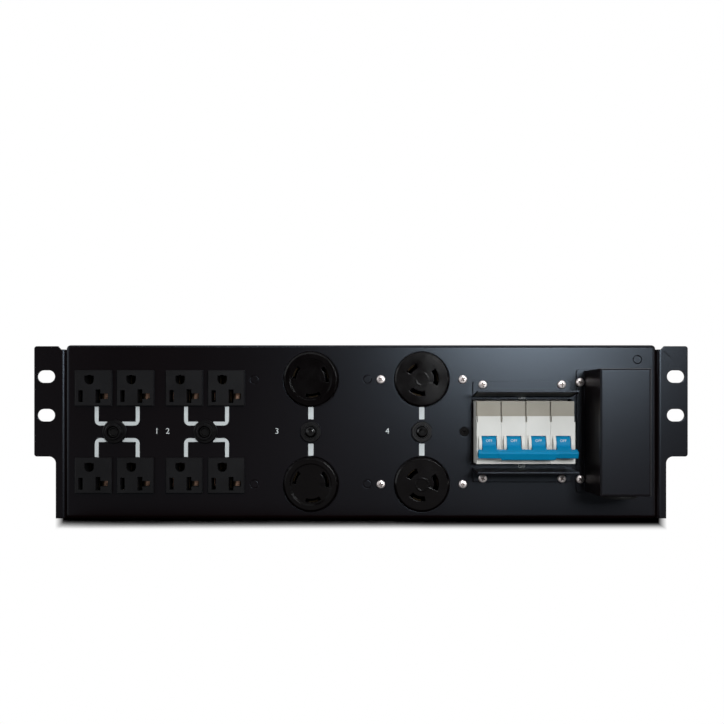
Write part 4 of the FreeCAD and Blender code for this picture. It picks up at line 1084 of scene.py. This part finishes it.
@dataclass
class ToggleMarks:
    """OFF in white on the drum of each toggle."""

    pivot_rise: float = 55.3
    pivot_out: float = 10.5
    drum: float = 8.0
    lift: float = 20.0
    height: float = 1.9
    film: float = 0.1
    toggles: int = 4

    def mark(self, x: float) -> Piece:
        """The mark of one toggle.

        Args:
            x: the toggle's middle, in metres.

        Returns:
            The mark, tangent to the drum.
        """
        piece = Bench.letters("toggle_mark", "OFF", self.height, 0.5 * self.film)
        tilt = math.radians(self.lift)
        out = self.pivot_out + self.drum * math.cos(tilt)
        rise = self.pivot_rise + self.drum * math.sin(tilt)
        place = spot(0, rise, out)
        place.x = x
        piece.data.transform(Matrix.Translation(place) @ Matrix.Rotation(math.pi / 2 - tilt, 4, "X"))
        return piece

    def build(self, ink: Material) -> None:
        """Mark the toggles, as one piece that rides on the handle.

        Args:
            ink: the white print.
        """
        marks = []
        for number in range(1, self.toggles + 1):
            low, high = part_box(f"breaker_toggle_{number}")
            marks.append(self.mark((low.x + high.x) / 2))
        settle(Bench.join("toggle_marks", marks), ink, Rider.HANDLE)


@dataclass
class CarriedNodes:
    """The CAD nodes that keep their shape, each with its finish."""

    coat: PowderCoat = PowderCoat()
    marked: PowderCoat = PowderCoat("powder_coat_rubbed", mark=RubMark((223.4, 124.0), (229.0, 118.6)))
    zinc: Plating = Plating("zinc_plate", (0.60, 0.61, 0.63), (0.42, 0.43, 0.45), 0.3)
    # Near-black tone: painted shade for the locking contacts, tabs and pins.
    brass: Plating = Plating("brass", (0.014, 0.010, 0.006), (0.010, 0.007, 0.004), 0.4)
    clips: ContactBrass = ContactBrass()
    oxide: Plating = Plating("black_oxide", (0.004, 0.0038, 0.0038), (0.009, 0.0085, 0.0085), 0.4)
    outlet: Moulding = Moulding("outlet_plastic", (0.0050, 0.0047, 0.0053), (0.0066, 0.0063, 0.0071),
                                0.48, 0.16)
    lock: Moulding = Moulding("lock_plastic", (0.0016, 0.001, 0.0011), (0.0022, 0.0015, 0.0017), 0.15, 0.2,
                              grain_depth=0.004, edge=0.5)
    collar: Moulding = Moulding("collar_plastic", (0.0026, 0.0022, 0.0025), (0.004, 0.0036, 0.004), 0.34, 0.2)
    button: Moulding = Moulding("button_plastic", (0.0012, 0.001, 0.0011), (0.0018, 0.0015, 0.0017),
                                0.16, 0.5)
    block: Moulding = Moulding("block_plastic", (0.02, 0.02, 0.021), (0.026, 0.026, 0.027), 0.5, 0.35)
    handle: Moulding = Moulding("handle_plastic", (0.0, 0.196, 0.384), (0.0, 0.21, 0.405), 0.45, 0.12)
    rubber: Moulding = Moulding("rubber", (0.008, 0.008, 0.008), (0.013, 0.013, 0.013), 0.7, 0.25)
    wire: Moulding = Moulding("wire_insulation", (0.012, 0.012, 0.012), (0.02, 0.02, 0.02), 0.45, 0.4)
    case: BreakerCase = BreakerCase()

    def finish_of(self, node: str) -> object:
        """Finish of a CAD node.

        Args:
            node: the node's name.

        Returns:
            The finish that draws its material.
        """
        finishes = {
            self.zinc: ("outlet_straps", "stud_nuts", "din_rail", "rail_standoffs", "terminal_screws"),
            self.brass: ("locking_contacts", "breaker_tabs", "terminal_pins"),
            self.clips: ("outlet_contacts",), self.oxide: ("rail_screws",), self.marked: ("rack_ear_right",),
            self.wire: ("outlet_bus", "feed_wires", "branch_wires"), self.outlet: ("outlet_",),
            self.lock: ("locking_outlet",), self.block: ("terminal_block",), self.case: ("main_breaker",),
            self.handle: ("breaker_toggle", "handle_tie_bar"), self.rubber: ("cable_grommet",),
            self.collar: ("breaker_boot", "breaker_nut", "reset_breaker"), self.button: ("reset_button",)}
        for finish, starts in finishes.items():
            if node.startswith(starts):
                return finish
        return self.coat

    def dress(self) -> None:
        """Give every CAD node its material."""
        made = {}
        for name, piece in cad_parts.items():
            finish = self.finish_of(name)
            if finish not in made:
                made[finish] = finish.material()
            if not piece.material_slots:
                piece.data.materials.append(made[finish])
            for slot in piece.material_slots:
                slot.material = made[finish]
            log.info("%s: %s", name, finish.name)


# Studio


@dataclass(frozen=True)
class SoftBox:
    """Soft lamp that looks at the unit's middle."""

    name: str
    place: Point
    size: Place
    watts: float
    tint: Colour = (0.95, 0.98, 1.0)

    def hang(self) -> None:
        """Hang the lamp."""
        light = bpy.data.lights.new(self.name, "AREA")
        light.shape = "RECTANGLE"
        light.size, light.size_y = self.size
        light.energy = self.watts
        light.color = self.tint
        holder = bpy.data.objects.new(self.name, light)
        holder.location = self.place
        holder.rotation_euler = (-Vector(self.place)).to_track_quat("-Z", "Y").to_euler()
        bpy.context.scene.collection.objects.link(holder)


@dataclass
class Studio:
    """Pale floor, soft light from the upper right, and the camera of the photograph; places in metres."""

    floor_rise: float = -0.0905
    floor_size: float = 6.0
    floor_tones: Tuple[Colour, Colour] = ((0.3, 0.3, 0.3), (0.28, 0.28, 0.28))
    floor_mirrored: float = 0.28
    shadow_reach: float = 0.075
    shadow_range: Span = (0.672, 0.939)
    shadow_power: float = 2.0
    shadow_end: float = 0.2235
    shadow_fade: float = 0.003
    shadow_taper: float = 0.342
    shadow_front: Span = (0.0225, 0.0705)
    room_tint: Colour = (0.93, 0.97, 1.0)
    room_levels: Span = (0.01, 0.25)
    room_behind: Span = (-0.8, -0.3)
    room_below: Span = (-0.4, 0.7)
    room_below_levels: Span = (0.2, 1.0)
    room_left: Span = (-0.5, -0.9)
    room_left_levels: Span = (1.0, 3.0)
    backdrop: Span = (0.0, 0.2)
    eye: Point = (0.0, -0.6535, -0.0076)
    lens: float = 43.87
    shift: Place = (0.0014, 0.061)
    lamps: Tuple[SoftBox, ...] = (
        SoftBox("key_box", (0.32, -1.0, 0.224), (0.27, 0.27), 7.2),
        SoftBox("side_strip", (1.05, -0.65, 0.2), (0.25, 0.6), 1.6),
        SoftBox("left_fill", (-1.1, -0.4, 0.15), (1.5, 1.1), 6.0),
        SoftBox("top_strip", (0.1, -0.55, 0.95), (0.9, 0.2), 3.0))

    def shadow(self, shader: Shader) -> Socket:
        """Contact shadow in a strip under the unit's front.

        Args:
            shader: the floor's tree.

        Returns:
            The socket with the floor's tone, 1 outside the shadow.
        """
        crease = shader.nodes.new("ShaderNodeAmbientOcclusion")
        crease.samples = 16
        crease.inputs["Distance"].default_value = self.shadow_reach
        tone = shader.math("POWER", shader.spread(crease.outputs["AO"], self.shadow_range), self.shadow_power)
        ahead = shader.math("MAXIMUM", shader.math("MULTIPLY", shader.axis("Y"), -1.0), 0.0)
        taper = shader.math("MULTIPLY", ahead, self.shadow_taper)
        aside = shader.math("ADD", shader.math("ABSOLUTE", shader.axis("X")), taper)
        ends = (self.shadow_end - self.shadow_fade, self.shadow_end + self.shadow_fade)
        beside = shader.spread(aside, ends)
        before = shader.spread(ahead, self.shadow_front, smooth=True)
        return shader.math("MAXIMUM", shader.math("MAXIMUM", tone, before), beside)

    def floor(self) -> None:
        """Lay the floor: white to the eye but for the shadow, and plain grey to the light."""
        Bench.clear()
        bpy.ops.mesh.primitive_plane_add(size=self.floor_size)
        floor = Bench.take("studio_floor")
        floor.data.transform(Matrix.Translation((0, 0, self.floor_rise)))
        shader = Shader("studio_floor")
        grain = shader.spread(shader.noise(per_m=3.0, detail=2.0))
        shader.feed("Base Color", shader.blend(grain, *self.floor_tones))
        shader.set(Roughness=0.9, Specular_IOR_Level=0.0)
        white = shader.nodes.new("ShaderNodeEmission")
        shader.links.new(self.shadow(shader), white.inputs["Color"])
        glow = shader.spread(shader.seen("Is Camera Ray"), (0.0, 1.0), (self.floor_mirrored, 1.0))
        shader.links.new(glow, white.inputs["Strength"])
        seen = shader.seen("Is Camera Ray", "Is Glossy Ray", "Is Transmission Ray")
        shader.cover(seen, shader.surface.outputs[0], white.outputs[0], "Material Output")
        floor.data.materials.append(shader.material)

    def world(self) -> None:
        """White behind the unit for the eye and for gloss, and a soft room, dark behind the camera."""
        world = bpy.data.worlds.new("studio")
        bpy.context.scene.world = world
        sky = Tree(world, "Generated")
        room = sky.nodes["Background"]
        around = sky.spread(sky.axis("Y"), self.room_behind, self.room_levels)
        high = sky.spread(sky.axis("Z"), self.room_below, self.room_below_levels)
        left = sky.spread(sky.axis("X"), self.room_left, self.room_left_levels)
        level = sky.math("MULTIPLY", sky.math("MULTIPLY", around, high), left)
        sky.links.new(level, room.inputs["Strength"])
        room.inputs["Color"].default_value = (*self.room_tint, 1.0)
        white = sky.nodes.new("ShaderNodeBackground")
        white.inputs["Color"].default_value = (1.0, 1.0, 1.0, 1.0)
        behind = sky.spread(sky.axis("Y"), self.backdrop)
        bounced = sky.math("MULTIPLY", sky.seen("Is Glossy Ray", "Is Transmission Ray"), behind)
        mask = sky.math("MAXIMUM", sky.seen("Is Camera Ray"), bounced)
        sky.cover(mask, room.outputs[0], white.outputs[0], "World Output")

    def camera(self) -> None:
        """Set the camera up level in front of the panel."""
        data = bpy.data.cameras.new("camera")
        data.lens = self.lens
        data.sensor_width = 36.0
        data.shift_x, data.shift_y = self.shift
        data.dof.use_dof = False
        holder = bpy.data.objects.new("camera", data)
        holder.location = self.eye
        holder.rotation_euler = (math.pi / 2, 0, 0)
        bpy.context.scene.collection.objects.link(holder)
        bpy.context.scene.camera = holder

    def build(self) -> None:
        """Set up floor, world, lamps and camera."""
        self.floor()
        self.world()
        for lamp in self.lamps:
            lamp.hang()
        self.camera()
        bpy.context.scene.view_settings.view_transform = "Standard"


def main() -> None:
    """Dress the unit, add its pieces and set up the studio."""
    logging.basicConfig(level=logging.INFO, format="%(name)s %(message)s")
    nodes = CarriedNodes()
    nodes.dress()
    ink = Ink().material()
    Fasteners().build(nodes.oxide.material())
    PrintedTraces().build(ink)
    PrintedMarks().build(ink)
    ToggleMarks().build(ink)
    Studio().build()


if __name__ == "__main__":
    main()
